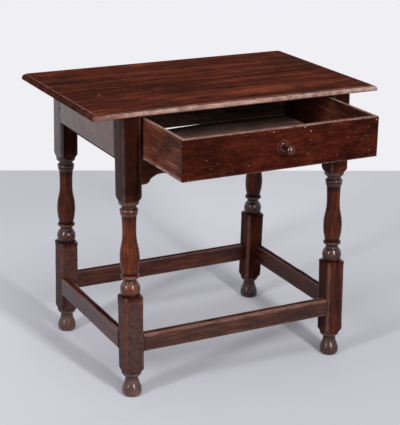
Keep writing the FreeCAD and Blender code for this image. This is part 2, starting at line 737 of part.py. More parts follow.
def drawer_knob():
    """A knob turned in one piece with the shank that goes through the drawer front."""
    body = doc.addObject("PartDesign::Body", "knob_turning")
    place(body, "0", FACE, KNOB_Z, X_AXIS, "90")
    sketch = new_sketch(body, "knob_outline", "XZ")
    outline(sketch, [
        ("0 * knob_long", "-front_thick - shank_past"),
        ("shank_round", "-front_thick - shank_past"),
        ("shank_round", "0 * knob_long"),
        ("flange_round", "0 * knob_long"),
        ("flange_round", "flange_thick / 2", "level_here"),
        ("flange_round - flange_thick / 2", "flange_thick"),
        ("knob_neck_round + 1", "flange_thick", "level_next"),
        ("knob_neck_round", "knob_neck", "level_here"),
        ("(knob_neck_round + knob_head_round) / 2", "(knob_neck + knob_head) / 2", "level_next"),
        ("knob_head_round", "knob_head", "level_here"),
        ("knob_tip_round", "knob_long - flange_thick / 2"),
        ("knob_tip_round", "knob_long - flange_thick / 4"),
        ("knob_tip_round - 1", "knob_long"),
        ("0 * knob_long", "knob_long"),
    ])
    turning = body.newObject("PartDesign::Revolution", "knob_turned")
    turning.Profile = sketch
    turning.ReferenceAxis = (sketch, ["V_Axis"])
    turning.Angle = 360
    doc.recompute()
    hole = cylinder("knob_hole", "shank_round + shank_fit", "front_thick + 2 * shank_past",
                    "-Y", "0", f"{FACE} + front_thick + shank_past", KNOB_Z)
    cut_from(["drawer_front"], hole)
    return body


def drawer_nails():
    """Nails from the sides into the front and the back, and up through the bottom."""
    nails = []
    for word, side, axis in (("left", "-", "+X"), ("right", "+", "-X")):
        x = f"{side}{DRAWER_WIDE} / 2"
        spaces = {"low": f"{DRAWER_LOW} + bottom_thick + drawer_nail_edge",
                  "mid": f"{DRAWER_LOW} + drawer_high / 2",
                  "top": f"{DRAWER_TOP} - drawer_nail_edge"}
        for level, z in spaces.items():
            side_node = f"drawer_side_{word}"
            nails.append(nail(f"front_{word}_{level}", axis, x,
                              f"{FACE} + (front_lip + front_thick) / 2", z,
                              "side_thick", "nail_bite", [side_node, "drawer_front"]))
            nails.append(nail(f"back_{word}_{level}", axis, x,
                              f"{DRAWER_REAR} - drawer_back_thick / 2", z,
                              "side_thick", "nail_bite", [side_node, "drawer_back"]))
        for index in range(4):
            board = "drawer_bottom_front" if index < 2 else "drawer_bottom_back"
            y = f"{FACE} + front_thick + drawer_nail_edge * 2 + bottom_nail_space * {index}"
            nails.append(nail(f"bottom_{word}_{index}", "+Z",
                              f"{side}({DRAWER_WIDE} / 2 - side_thick / 2)", y, DRAWER_LOW,
                              "bottom_thick", "nail_bite", [board, f"drawer_side_{word}"]))
    return nails


# ---------------------------------------------------------------- runners

def drawer_runner(name, side):
    """A bearer notched round the legs, from the drawer rail to under the back rail, with a
    guide left standing on it against the end rail."""
    body = new_body(f"{name}_strip")
    wall = "(frame_width / 2 - rail_thick - runner_fit)"
    leg = f"({OPENING} / 2 - runner_fit)"
    inside = f"({OPENING} / 2 - drawer_side_gap - bearer_under)"
    notch = inner_y(f"{RAIL_LOW} + guide_high", "+", "leg_square + runner_fit")
    low = f"{RAIL_LOW} - bearer_deep"
    front = inner_y(RAIL_LOW, "-", "rail_thick + runner_fit")
    back = f"{inner_y(RAIL_LOW, '+', 'rail_thick')} + bearer_lap"
    corners = [
        (f"{side}{wall}", f"-{notch}"),
        (f"{side}{leg}", f"-{notch}"),
        (f"{side}{leg}", front),
        (f"{side}{inside}", front),
        (f"{side}{inside}", back),
        (f"{side}{leg}", back),
        (f"{side}{leg}", notch),
        (f"{side}{wall}", notch),
    ]
    pad_outline(body, f"{name}_bearer", "XY", corners, "bearer_deep", offset=low)
    guide = f"({DRAWER_WIDE} / 2 + guide_gap)"
    pad_outline(body, f"{name}_guide", "XY", [
        (f"{side}{wall}", f"-{notch}"),
        (f"{side}{guide}", f"-{notch}"),
        (f"{side}{guide}", notch),
        (f"{side}{wall}", notch),
    ], "guide_high", offset=RAIL_LOW)
    return body


def runner_nails():
    nails = []
    for word, side, axis in (("left", "-", "-X"), ("right", "+", "+X")):
        x = f"{side}({DRAWER_WIDE} / 2 + guide_gap)"
        through = f"(frame_width / 2 - rail_thick - {DRAWER_WIDE} / 2 - guide_gap)"
        for index in (-1, 0, 1):
            nails.append(nail(f"runner_{word}_{index + 1}", axis, x,
                              f"{index} * runner_nail_space", f"{RAIL_LOW} + guide_high / 2",
                              through, "runner_nail_bite",
                              [f"drawer_runner_{word}", f"end_rail_{word}"]))
    return nails


# ---------------------------------------------------------------- assembly

def build_top():
    joint = f"({TOP_FRONT} + front_board_wide)"
    boards = {
        "top_board_front": top_board("top_board_front", TOP_FRONT, f"{joint} - board_gap", False),
        "top_board_back": top_board("top_board_back", joint, TOP_BACK, True),
    }
    pegs = []
    head_y = f"{LEG_FOOT_Y} - {UNDERSIDE} * tan(rake)"
    rail_x = "(frame_width / 2 - rail_thick / 2)"
    for word, side in (("left", "-"), ("right", "+")):
        for depth, way in (("front", "-"), ("back", "+")):
            board = f"top_board_{depth}"
            pegs.append(top_peg(f"top_{depth}_{word}", f"{side}{LEG_X}", f"{way}({head_y})",
                                [board, f"leg_{depth}_{word}"]))
            pegs.append(top_peg(f"top_end_{depth}_{word}", f"{side}{rail_x}",
                                f"{way}top_peg_end_space", [board, f"end_rail_{word}"]))
        pegs.append(top_peg(f"top_rear_{word}", f"{side}top_peg_back_space",
                            "frame_depth / 2 - rail_thick / 2", ["top_board_back", "back_rail"]))
    group_node("top_pegs", pegs)
    return boards


def stretcher(name, run, side, low, depth, legs):
    """A stretcher near the floor and the pegs that hold it, one at the middle of each end."""
    bar = joined_member(name, run, side, low, f"({low} + {depth})", "stretcher_thick",
                        f"{low} + tenon_edge", f"{low} + {depth} - tenon_edge", legs)
    return bar, frame_pegs(name, run, side, (f"({low} + {depth} / 2)",))


def build_members():
    """Rails and stretchers, and the pegs through their tenons."""
    members = {}
    rail_pegs = []
    stretcher_pegs = []
    rail_tenon = (f"{RAIL_LOW} + tenon_edge", f"{UNDERSIDE} - tenon_haunch")
    rail_heights = (f"{RAIL_LOW} + rail_peg_low", f"{RAIL_LOW} + rail_peg_high")
    sides = (("left", "-", ["leg_front_left", "leg_back_left"]),
             ("right", "+", ["leg_front_right", "leg_back_right"]))
    for word, side, legs in sides:
        rail = f"end_rail_{word}"
        members[rail] = joined_member(rail, "end", side, RAIL_LOW, UNDERSIDE, "rail_thick",
                                      *rail_tenon, legs)
        rail_pegs += frame_pegs(rail, "end", side, rail_heights)
        bar = f"stretcher_{word}"
        members[bar], pegs = stretcher(bar, "end", side, "end_stretcher_low",
                                       "end_stretcher_depth", legs)
        stretcher_pegs += pegs

    front_legs = ["leg_front_left", "leg_front_right"]
    back_legs = ["leg_back_left", "leg_back_right"]
    for bar, side, low, depth, legs in (
            ("stretcher_front", "-", "stretcher_low", "stretcher_depth", front_legs),
            ("stretcher_back", "+", "back_stretcher_low", "back_stretcher_depth", back_legs)):
        members[bar], pegs = stretcher(bar, "cross", side, low, depth, legs)
        stretcher_pegs += pegs
    members["back_rail"] = joined_member("back_rail", "cross", "+", RAIL_LOW, UNDERSIDE,
                                         "rail_thick", *rail_tenon, back_legs)
    rail_pegs += frame_pegs("back_rail", "cross", "+", rail_heights)

    shelf = joined_member("drawer_rail", "cross", "-", BRACKET_LOW, RAIL_LOW, "rail_thick",
                          f"{BRACKET_LOW} + tenon_edge", f"{RAIL_LOW} - tenon_edge", front_legs)
    shape_brackets(shelf)
    members["drawer_rail"] = shelf
    rail_pegs += frame_pegs("drawer_rail", "cross", "-",
                            (f"({BRACKET_LOW} + drawer_rail_peg)",))
    group_node("rail_pegs", rail_pegs)
    group_node("stretcher_pegs", stretcher_pegs)
    return members


def shape_brackets(body):
    """Saw the lower edge of the drawer rail so that a bracket hangs at each end: a flat, a
    convex curve, and a hollow that runs out level along the rail."""
    low = BRACKET_LOW
    level = f"{RAIL_LOW} - drawer_rail_depth"
    flat = f"({OPENING} / 2 - bracket_flat)"
    cusp = f"({flat} - bracket_bulge)"
    hollow = f"({cusp} - bracket_cove)"
    pocket_outline(body, "bracket_cut", "XZ", [
        (f"-{flat}", f"{low} - bracket_rise"),
        (flat, f"{low} - bracket_rise"),
        (flat, low, "level_next"),
        (cusp, f"{low} + bracket_rise", "plumb_next"),
        (hollow, level),
        (f"-{hollow}", level, "plumb_here"),
        (f"-{cusp}", f"{low} + bracket_rise", "level_here"),
        (f"-{flat}", low),
    ], flip=True)


def build_drawer():
    bottom_front, bottom_rear = bottom_boards()
    boards = {
        "drawer_front": drawer_front_board(),
        "drawer_side_left": drawer_side("drawer_side_left", "-"),
        "drawer_side_right": drawer_side("drawer_side_right", "+"),
        "drawer_back": drawer_back_board(),
        "drawer_bottom_front": bottom_front,
        "drawer_bottom_back": bottom_rear,
        "drawer_knob": drawer_knob(),
    }
    group_node("drawer_nails", drawer_nails())
    return boards


def build_legs():
    legs = {}
    for word, x in (("left", f"-{LEG_X}"), ("right", LEG_X)):
        for depth, side in (("front", "-"), ("back", "+")):
            name = f"leg_{depth}_{word}"
            legs[name] = turned_leg(name, x, side)
    return legs


def check_and_write():
    """Every object has to be sound before any file is written."""
    doc.recompute()
    for item in doc.Objects:
        if "Invalid" in item.State or "Error" in item.State:
            raise ValueError(f"{item.Label} failed: {item.State}")
    for name, item in nodes.items():
        if item.Shape.isNull() or not item.Shape.isValid():
            raise ValueError(f"{name} has no sound shape")
    os.makedirs("parts", exist_ok=True)
    for name, item in nodes.items():
        item.Shape.exportStep(f"parts/{name}.step")


pieces = {}
pieces.update(build_members())
pieces.update(build_top())
pieces.update(build_legs())
pieces["drawer_runner_left"] = drawer_runner("drawer_runner_left", "-")
pieces["drawer_runner_right"] = drawer_runner("drawer_runner_right", "+")
group_node("runner_nails", runner_nails())
pieces.update(build_drawer())
for piece_name, piece in pieces.items():
    finish_node(piece_name, piece)
check_and_write()
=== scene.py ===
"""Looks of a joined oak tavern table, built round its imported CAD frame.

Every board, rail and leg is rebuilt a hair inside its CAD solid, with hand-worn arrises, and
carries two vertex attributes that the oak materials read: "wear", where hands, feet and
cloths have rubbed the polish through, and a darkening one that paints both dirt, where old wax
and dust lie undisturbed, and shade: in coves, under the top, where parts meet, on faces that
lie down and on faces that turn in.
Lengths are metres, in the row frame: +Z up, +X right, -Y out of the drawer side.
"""
import math

import bpy
from mathutils import Matrix, Vector, noise


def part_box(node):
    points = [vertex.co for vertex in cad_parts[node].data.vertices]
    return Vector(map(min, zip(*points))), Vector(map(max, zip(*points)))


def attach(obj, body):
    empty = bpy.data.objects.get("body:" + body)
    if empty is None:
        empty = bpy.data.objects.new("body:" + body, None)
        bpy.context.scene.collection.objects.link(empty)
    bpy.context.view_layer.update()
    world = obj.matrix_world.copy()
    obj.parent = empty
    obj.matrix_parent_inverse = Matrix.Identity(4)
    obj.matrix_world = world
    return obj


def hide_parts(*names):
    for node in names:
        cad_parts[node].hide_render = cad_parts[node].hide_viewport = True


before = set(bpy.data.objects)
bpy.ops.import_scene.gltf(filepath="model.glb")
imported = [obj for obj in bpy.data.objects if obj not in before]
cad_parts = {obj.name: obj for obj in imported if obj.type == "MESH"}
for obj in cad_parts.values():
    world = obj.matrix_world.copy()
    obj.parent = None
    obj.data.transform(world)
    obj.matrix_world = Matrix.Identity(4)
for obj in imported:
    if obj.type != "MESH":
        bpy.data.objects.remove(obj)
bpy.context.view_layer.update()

MM = 0.001
SHARP = math.radians(38)          # of an edge that is shaded as a crease

# ------------------------------------------------------------------ sizes of the real object
RAKE = math.radians(1.9)          # lean of the legs, out from front to back
LEG_SQUARE = 48 * MM
LOW_BLOCK = (79 * MM, 250 * MM)   # the square blocks, along the leg from its sole
UP_BLOCK_LOW = 511 * MM
LOWEST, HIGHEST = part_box("leg_front_left")
UNDERSIDE = HIGHEST.z             # of the top
FOOT_Y = 216.7 * MM               # from the middle of the frame to the middle of a foot
MIDDLE_Y = (LOWEST.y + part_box("leg_back_left")[1].y) / 2
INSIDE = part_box("leg_front_right")[0].x     # from the middle to the inner face of a leg
TOP_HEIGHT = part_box("top_board_front")[1].z
END_RAIL_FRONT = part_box("end_rail_left")[0].y

# ------------------------------------------------------------------ camera of the photograph
CAMERA_AT = (-1.4344, -2.68786, 1.4237)
CAMERA_YAW = math.radians(26.818)     # from +Y towards +X
CAMERA_PITCH = math.radians(-18.616)
CAMERA_ROLL = math.radians(0.743)
FOCAL_PIXELS = 1280.3
SENSOR = 36                           # mm, as wide as the photograph's longer side
PHOTO_SIZE = (400, 425)
PHOTO_CENTRE = (189.8, 210.6)         # where the optical axis meets the photograph


# ------------------------------------------------------------------ small helpers
def ripple(point, size, seed=0.0):
    """Smooth noise from -1 to 1 with features about one size across."""
    return noise.noise(Vector(point) / size + Vector((seed, seed * 1.7, seed * 0.6)))


def clamp(value, low=0.0, high=1.0):
    return max(low, min(high, value))


def blend_between(a, b, t):
    return a + (b - a) * t


def wall_faces(count, rings):
    """Quads between rings of count points, laid one after another."""
    faces = []
    for row in range(rings - 1):
        for k in range(count):
            nxt = (k + 1) % count
            faces.append((row * count + k, row * count + nxt,
                          (row + 1) * count + nxt, (row + 1) * count + k))
    return faces


def show(name, points, faces, wear, grime, body, materials, nodes, picks=None):
    """Make a piece of the object from plain lists, in place of CAD nodes.  picks gives the
    number of each face's material."""
    mesh = bpy.data.meshes.new(name)
    mesh.from_pydata([tuple(p) for p in points], [], faces)
    mesh.validate()
    mesh.update()
    for word, values in (("wear", wear), ("grime", grime)):
        layer = mesh.attributes.new(word, "FLOAT", "POINT")
        layer.data.foreach_set("value", [float(v) for v in values])
    mesh.shade_smooth()
    mesh.set_sharp_from_angle(angle=SHARP)
    for material in materials:
        mesh.materials.append(material)
    if picks:
        mesh.polygons.foreach_set("material_index", picks)
    piece = bpy.data.objects.new(name, mesh)
    bpy.context.scene.collection.objects.link(piece)
    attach(piece, body)
    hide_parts(*nodes)


# ------------------------------------------------------------------ building materials
PIECE_SHIFT = 7.0        # metres by which the patterns of two pieces differ at most


class Look:
    """A short hand for building one node material round its Principled shader."""

    def __init__(self, name):
        self.material = bpy.data.materials.new(name)
        self.material.use_nodes = True
        self.tree = self.material.node_tree
        self.shader = self.tree.nodes["Principled BSDF"]

    def add(self, kind, **settings):
        node = self.tree.nodes.new(kind)
        for key, value in settings.items():
            setattr(node, key, value)
        return node

    def feed(self, socket, value):
        """Join a socket to another, or give it a plain value."""
        if isinstance(value, bpy.types.NodeSocket):
            self.tree.links.new(value, socket)
        else:
            socket.default_value = value

    def maths(self, operation, a, b=0.0, limit=False):
        node = self.add("ShaderNodeMath", operation=operation, use_clamp=limit)
        self.feed(node.inputs[0], a)
        self.feed(node.inputs[1], b)
        return node.outputs[0]

    def span(self, value, low, high, to_low=0.0, to_high=1.0):
        """Map a value from one range to another, held inside the second."""
        node = self.add("ShaderNodeMapRange", interpolation_type="SMOOTHSTEP")
        for socket, number in zip(node.inputs, (value, low, high, to_low, to_high)):
            self.feed(socket, number)
        return node.outputs[0]

    def noise(self, place, scale, detail=4.0, rough=0.55, swirl=0.0):
        node = self.add("ShaderNodeTexNoise")
        self.feed(node.inputs["Vector"], place)
        self.feed(node.inputs["Scale"], scale)
        self.feed(node.inputs["Detail"], detail)
        self.feed(node.inputs["Roughness"], rough)
        self.feed(node.inputs["Distortion"], swirl)
        return node.outputs[0]

    def mix(self, share, a, b, how="MIX"):
        node = self.add("ShaderNodeMix", data_type="RGBA", blend_type=how)
        self.feed(node.inputs[0], share)
        self.feed(node.inputs[6], a)
        self.feed(node.inputs[7], b)
        return node.outputs[2]

    def ramp(self, value, stops):
        node = self.add("ShaderNodeValToRGB")
        bar = node.color_ramp.elements
        stops = list(stops)
        while len(bar) < len(stops):
            bar.new(0.5)
        for element, (position, colour) in zip(bar, stops):
            element.position = position
            element.color = (*colour, 1)
        self.feed(node.inputs[0], value)
        return node.outputs[0]

    def away_from(self, centre):
        """Distance from a point of the row frame."""
        node = self.add("ShaderNodeVectorMath", operation="DISTANCE")
        self.feed(node.inputs[0], self.add("ShaderNodeTexCoord").outputs["Object"])
        self.feed(node.inputs[1], centre)
        return node.outputs["Value"]

    def attribute(self, name):
        return self.add("ShaderNodeAttribute", attribute_name=name).outputs["Fac"]

    def place(self, stretch=(1, 1, 1)):
        """Row-frame coordinates, shifted by a different amount on each piece."""
        coords = self.add("ShaderNodeTexCoord").outputs["Object"]
        shift = self.maths("MULTIPLY", self.add("ShaderNodeObjectInfo").outputs["Random"],
                           PIECE_SHIFT)
        moved = self.add("ShaderNodeVectorMath", operation="ADD")
        self.feed(moved.inputs[0], coords)
        self.feed(moved.inputs[1], shift)
        mapping = self.add("ShaderNodeMapping")
        self.feed(mapping.inputs["Vector"], moved.outputs[0])
        self.feed(mapping.inputs["Scale"], stretch)
        return mapping.outputs[0]


# ------------------------------------------------------------------ old oak
GRAIN = {"X": (0.07, 1, 1), "Y": (1, 0.07, 1), "Z": (1, 1, 0.07), "short X": (0.3, 1, 1)}

STREAK_SCALE = 240.0     # of the patterns, per metre
PORE_SCALE = 700.0
CLOUD_SCALE = 7.0        # thicker and thinner polish
WEAR_SCALE = 70.0
DIRT_AND_SHADE_SCALE = 45.0
CHIP_SCALE = 75.0        # pale specks where the polish has chipped
CHIP_GROUP_SCALE = 60.0
SWELL_SCALE = 28.0       # of a face planed by hand
BUMP_DEPTH = 0.0010
SHADOWED_SHARE = 0.15              # what is left of the colour in the painted shadow

DARK = (0.017, 0.0036, 0.0019)       # linear colours of waxed oak
MIDDLE = (0.047, 0.0104, 0.0050)
LIGHT = (0.085, 0.0215, 0.0100)
DUSTY = (0.23, 0.155, 0.145)         # where it is rubbed least
RUBBED = (0.30, 0.165, 0.125)        # and where the polish is rubbed through
BROWNISH = (0.19, 0.085, 0.058)
REDDISH = (0.125, 0.043, 0.030)
ORANGE = (0.190, 0.060, 0.025)
PINKISH = (0.37, 0.240, 0.198)


def times(colour, factor):
    """A colour made darker or paler."""
    return (*[part * factor for part in colour], 1)


def bare_grain(look, along, streak, pore, cloud, tones, coarse, streaks, patina):
    """Long figure and fine streaks between three tones, clouded, with dark pores."""
    figure = look.noise(along, coarse, 5.0, 0.6, 0.5)
    tone = look.maths("ADD", look.span(figure, 0.30, 0.72, 0.0, 1 - streaks),
                      look.span(streak, 0.32, 0.70, 0.0, streaks))
    wood = look.ramp(tone, zip((0.05, 0.5, 0.97), tones))
    shade = look.span(cloud, 0.30, 0.70, 1 - patina, 1 + patina * 0.6)
    wood = look.mix(1.0, wood, shade, "MULTIPLY")
    return look.mix(look.span(pore, 0.60, 0.70, 0.0, 0.6), wood, times(tones[0], 0.3))


def worn_through(look, wood, free, streak, rubbed):
    """Bare wood where hands, feet and cloths have rubbed, dusty where they rub least."""
    wear = look.attribute("wear")
    patches = look.span(look.noise(free, WEAR_SCALE, 4.0, 0.7), 0.34, 0.62, 0.5, 1.1)
    share = look.maths("MULTIPLY", wear, patches, limit=True)
    bare = look.mix(look.span(streak, 0.35, 0.65), times(rubbed, 0.7), (*rubbed, 1))
    bare = look.mix(look.span(wear, 0.2, 0.5), (*DUSTY, 1), bare)
    return look.mix(share, wood, bare)


def chipped(look, wood, free, rubbed, specks):
    """Groups of small pale specks."""
    chip = look.add("ShaderNodeTexVoronoi")
    look.feed(chip.inputs["Vector"], free)
    look.feed(chip.inputs["Scale"], CHIP_SCALE)
    near = look.span(chip.outputs["Distance"], 0.06, 0.13, specks, 0.0)
    group = look.span(look.noise(free, CHIP_GROUP_SCALE, 1.0), 0.48, 0.54)
    return look.mix(look.maths("MULTIPLY", near, group), wood, (*rubbed, 1))


def marked(look, wood, rubbed, scars, ring):
    """Bare spots and one rubbed ring, each a centre and a radius."""
    for centre, radius in scars:
        bare = look.span(look.away_from(centre), radius * 0.5, radius * 1.4, 0.9, 0.0)
        wood = look.mix(bare, wood, times(rubbed, 1.5))
    if ring:
        centre, radius = ring
        away = look.away_from(centre)
        rim = look.maths("MULTIPLY", look.span(away, radius - 2.5 * MM, radius),
                         look.span(away, radius + 1 * MM, radius + 3.5 * MM, 0.10, 0.0))
        wood = look.mix(rim, wood, (*rubbed, 1))
    return wood


def oak(name, grain, tones, rubbed, gloss=0.38, streaks=0.55, patina=0.45, sheen=0.16,
        specks=0.45, relief=0.3, scars=(), ring=None, coarse=46.0, shadowed=None, tint=None):
    """Old polished oak, with patina, wear, chips, and darkening for dirt and painted shade.
    tones are its dark, middle and light; gloss is its roughness and sheen its specular level,
    which tint colours; coarse is the scale of the figure, and streaks the share of fine lines in
    it;
    scars and ring are bare places; shadowed says where, from front to back, a painted shadow
    darkens the wood."""
    look = Look(name)
    along = look.place(GRAIN[grain])
    free = look.place()
    streak = look.noise(along, STREAK_SCALE, 3.0, 0.6, 0.2)
    pore = look.noise(along, PORE_SCALE, 2.0, 0.5)
    cloud = look.noise(free, CLOUD_SCALE, 3.0, 0.6, 0.3)

    wood = bare_grain(look, along, streak, pore, cloud, tones, coarse, streaks, patina)
    wood = worn_through(look, wood, free, streak, rubbed)
    # Darkening by the second attribute: dirt, and painted shade in coves, under the top, where
    # parts meet, on faces that lie down and on faces that turn in.
    grime = look.maths("MULTIPLY", look.attribute("grime"),
                       look.span(look.noise(free, DIRT_AND_SHADE_SCALE, 3.0), 0.25, 0.6, 0.6, 1.0),
                       limit=True)
    wood = look.mix(look.maths("MULTIPLY", grime, 0.85), wood, times(tones[0], 0.22))
    wood = chipped(look, wood, free, rubbed, specks)
    wood = marked(look, wood, rubbed, scars, ring)
    # Painted shadow: the colour darkens from front to back, where the top shades the drawer's
    # bottom.
    if shadowed:
        depth = look.add("ShaderNodeSeparateXYZ")
        look.feed(depth.inputs[0], look.add("ShaderNodeTexCoord").outputs["Object"])
        wood = look.mix(1.0, wood, look.span(depth.outputs["Y"], *shadowed, 1.0, SHADOWED_SHARE), "MULTIPLY")
    look.feed(look.shader.inputs["Base Color"], wood)

    rough = look.span(cloud, 0.3, 0.7, gloss - 0.05, gloss + 0.08)
    rough = look.maths("ADD", rough, look.span(streak, 0.4, 0.7, 0.0, 0.05))
    rough = look.maths("ADD", rough, look.maths("MULTIPLY", grime, 0.25), limit=True)
    look.feed(look.shader.inputs["Roughness"], rough)
    look.shader.inputs["Specular IOR Level"].default_value = sheen
    if tint:
        look.shader.inputs["Specular Tint"].default_value = (*tint, 1)

    height = look.maths("ADD", look.maths("MULTIPLY", streak, 0.5),
                        look.maths("MULTIPLY", pore, -0.5))
    swell = look.maths("MULTIPLY", look.noise(free, SWELL_SCALE, 2.0), 1.6)
    height = look.maths("ADD", height, swell)
    bump = look.add("ShaderNodeBump")
    look.feed(bump.inputs["Strength"], relief)
    look.feed(bump.inputs["Distance"], BUMP_DEPTH)
    look.feed(bump.inputs["Height"], height)
    look.feed(look.shader.inputs["Normal"], bump.outputs[0])
    return look.material


def turned_oak(name, tones, sheen):
    """Oak polished on the lathe."""
    return oak(name, "Z", tones, ORANGE, gloss=0.11, streaks=0.4, sheen=sheen, specks=0.1,
               relief=0.10)


def iron(name):
    """Forged iron, dark and mottled."""
    look = Look(name)
    spots = look.noise(look.place(), 900.0, 3.0)
    look.feed(look.shader.inputs["Base Color"],
              look.ramp(spots, ((0.35, (0.03, 0.022, 0.02)), (0.65, (0.10, 0.06, 0.045)))))
    look.feed(look.shader.inputs["Roughness"], look.span(spots, 0.3, 0.7, 0.45, 0.7))
    look.shader.inputs["Metallic"].default_value = 0.6
    return look.material


# ------------------------------------------------------------------ the table's materials
UNWAXED = dict(gloss=0.6, sheen=0.003)      # next to no wax to shine
BARE = dict(gloss=0.6, sheen=0.02)          # never polished

# The front left leg takes TURNED and the others the darker tones below: partly the legs' own
# tone, partly painted shade.
TURNED = ((0.018, 0.0032, 0.0012), (0.080, 0.0152, 0.0044), (0.165, 0.0390, 0.0115))
TURNED_DARK = ((0.014, 0.0025, 0.0010), (0.056, 0.0108, 0.0042), (0.112, 0.0265, 0.0090))
RINGS_DARK = ((0.011, 0.0021, 0.0011), (0.040, 0.0082, 0.0038), (0.082, 0.0200, 0.0080))
SCUFFED = ((0.030, 0.0085, 0.0045), (0.115, 0.0350, 0.0180), (0.210, 0.0800, 0.0460))

TOP_SPOTS = ((-292, -43), (-288, -45), (-374, -146))    # bare spots, mm from the middle
DRAWER_SPOTS = ((242, 694), (247, 683), (54, 685), (56, 695), (-27, 683), (70, 675))
DRAWER_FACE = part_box("drawer_front")[0].y
KNOB_LOW, KNOB_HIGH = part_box("drawer_knob")
KNOB_RING = ((0, DRAWER_FACE, (KNOB_LOW.z + KNOB_HIGH.z) / 2), 14.5 * MM)

OAK_TOP = oak(
    "oak_top", "X", ((0.025, 0.0052, 0.0033), (0.080, 0.0170, 0.0088), (0.205, 0.0545, 0.0265)),
    PINKISH, patina=0.46, specks=0.25, coarse=32.0, **UNWAXED,
    scars=[((x * MM, MIDDLE_Y + y * MM, TOP_HEIGHT), 1.6 * MM) for x, y in TOP_SPOTS])
OAK_TOP_PEG = oak(
    "oak_top_peg", "X",
    ((0.020, 0.0050, 0.0032), (0.042, 0.0105, 0.0065), (0.070, 0.0200, 0.0130)),
    RUBBED, specks=0.0, **UNWAXED)
OAK_PEG = oak(
    "oak_peg", "X", ((0.010, 0.003, 0.002), (0.030, 0.0080, 0.0042), (0.050, 0.014, 0.008)),
    ORANGE, sheen=0.05)

OAK_X = oak("oak_along_x", "X", (DARK, MIDDLE, LIGHT), REDDISH, sheen=0.25)
OAK_X_UP = oak(
    "oak_along_x_up", "X", (DARK, (0.070, 0.0155, 0.0080), (0.130, 0.0350, 0.0180)),
    REDDISH, **UNWAXED)
OAK_STRETCHER = oak(
    "oak_stretcher", "X",
    ((0.014, 0.0040, 0.0022), (0.046, 0.0130, 0.0064), (0.090, 0.0300, 0.0150)),
    BROWNISH, sheen=0.25)
# A darker copy for the drawer rail: painted shade under the open drawer.
OAK_RAIL_SHADED = oak(
    "oak_drawer_rail_shaded", "X", (DARK, (0.030, 0.0065, 0.0032), (0.055, 0.0140, 0.0065)),
    REDDISH, sheen=0.03)
OAK_END = oak(
    "oak_end_rail", "Y", (DARK, (0.060, 0.0130, 0.0070), (0.105, 0.0270, 0.0140)),
    REDDISH, gloss=0.24, sheen=1.0, relief=1.0)
OAK_Y = oak(
    "oak_along_y", "Y", (DARK, (0.062, 0.0130, 0.0060), (0.115, 0.0280, 0.0125)),
    REDDISH, gloss=0.34, sheen=0.40)
OAK_Y_DULL = oak(
    "oak_along_y_dull", "Y", (DARK, (0.050, 0.0120, 0.0060), (0.090, 0.0260, 0.0125)),
    REDDISH, gloss=0.40, sheen=0.20)
OAK_Y_UP = oak(
    "oak_along_y_up", "Y", (DARK, (0.080, 0.0180, 0.0090), (0.150, 0.0420, 0.0210)),
    REDDISH, **UNWAXED)

OAK_LEG = oak(
    "oak_leg", "Z", ((0.012, 0.0022, 0.0012), (0.036, 0.0070, 0.0034), (0.068, 0.0155, 0.0070)),
    ORANGE, gloss=0.36, streaks=0.35, sheen=0.03)
# A copy of the leg's oak with a strong sheen, for the left face of the back left leg's upper
# block only: a sheen given to that one side, standing in for its reflection of the bright left.
OAK_LEG_LEFT_SHEEN = oak(
    "oak_leg_left_sheen", "Z",
    ((0.013, 0.0026, 0.0014), (0.038, 0.0080, 0.0040), (0.070, 0.0170, 0.0080)),
    ORANGE, gloss=0.30, streaks=0.35, sheen=0.7, relief=0.8)
# A darker copy of the leg's oak for the left face of the front left leg's upper block: painted
# shade on that side.
OAK_LEG_LEFT_SHADE = oak(
    "oak_leg_left_shade", "Z",
    ((0.008, 0.0022, 0.0014), (0.024, 0.0062, 0.0038), (0.044, 0.0125, 0.0075)),
    ORANGE, gloss=0.30, streaks=0.35, sheen=0.07, relief=0.8)
OAK_VASE = turned_oak("oak_vase", TURNED, 0.13)
OAK_RINGS = turned_oak("oak_rings", TURNED, 0.42)
OAK_VASE_DARK = turned_oak("oak_vase_dark", TURNED_DARK, 0.12)
OAK_RINGS_DARK = turned_oak("oak_rings_dark", RINGS_DARK, 0.45)
OAK_FOOT = turned_oak("oak_foot", SCUFFED, 0.60)

OAK_FRONT = oak(
    "oak_drawer_front", "short X",
    ((0.014, 0.0024, 0.0013), (0.034, 0.0052, 0.0021), (0.060, 0.0100, 0.0040)),
    RUBBED, sheen=0.03, streaks=0.35, coarse=80.0, specks=0.55, ring=KNOB_RING,
    scars=[((x * MM, DRAWER_FACE, z * MM), 1.4 * MM) for x, z in DRAWER_SPOTS])
OAK_SIDE = oak(
    "oak_drawer_side", "Y",
    ((0.036, 0.0095, 0.0055), (0.110, 0.0310, 0.0170), (0.220, 0.080, 0.048)),
    RUBBED, gloss=0.45, streaks=0.45, patina=0.65, sheen=0.05, specks=0.9)
# Its tones are darkened to paint the shade inside the drawer and under the top, where the back
# and the runners lie.
OAK_BARE = oak(
    "oak_bare", "X", ((0.012, 0.006, 0.005), (0.034, 0.017, 0.014), (0.064, 0.036, 0.030)),
    RUBBED, **BARE)
# Pale tones, partly the bare oak and partly painted light falling into the front of the open
# drawer; the painted shadow of the top darkens them to the back.
OAK_BOTTOM = oak(
    "oak_drawer_bottom", "X",
    ((0.160, 0.088, 0.070), (0.280, 0.160, 0.128), (0.390, 0.245, 0.205)),
    RUBBED, shadowed=(10 * MM, 90 * MM), **BARE)
OAK_KNOB = oak(
    "oak_knob", "Z",
    ((0.009, 0.0018, 0.0010), (0.026, 0.0048, 0.0022), (0.050, 0.0105, 0.0050)),
    ORANGE, gloss=0.07, sheen=0.75, specks=0.0, relief=0.05, tint=(1.0, 0.66, 0.62))
IRON = iron("wrought_iron")


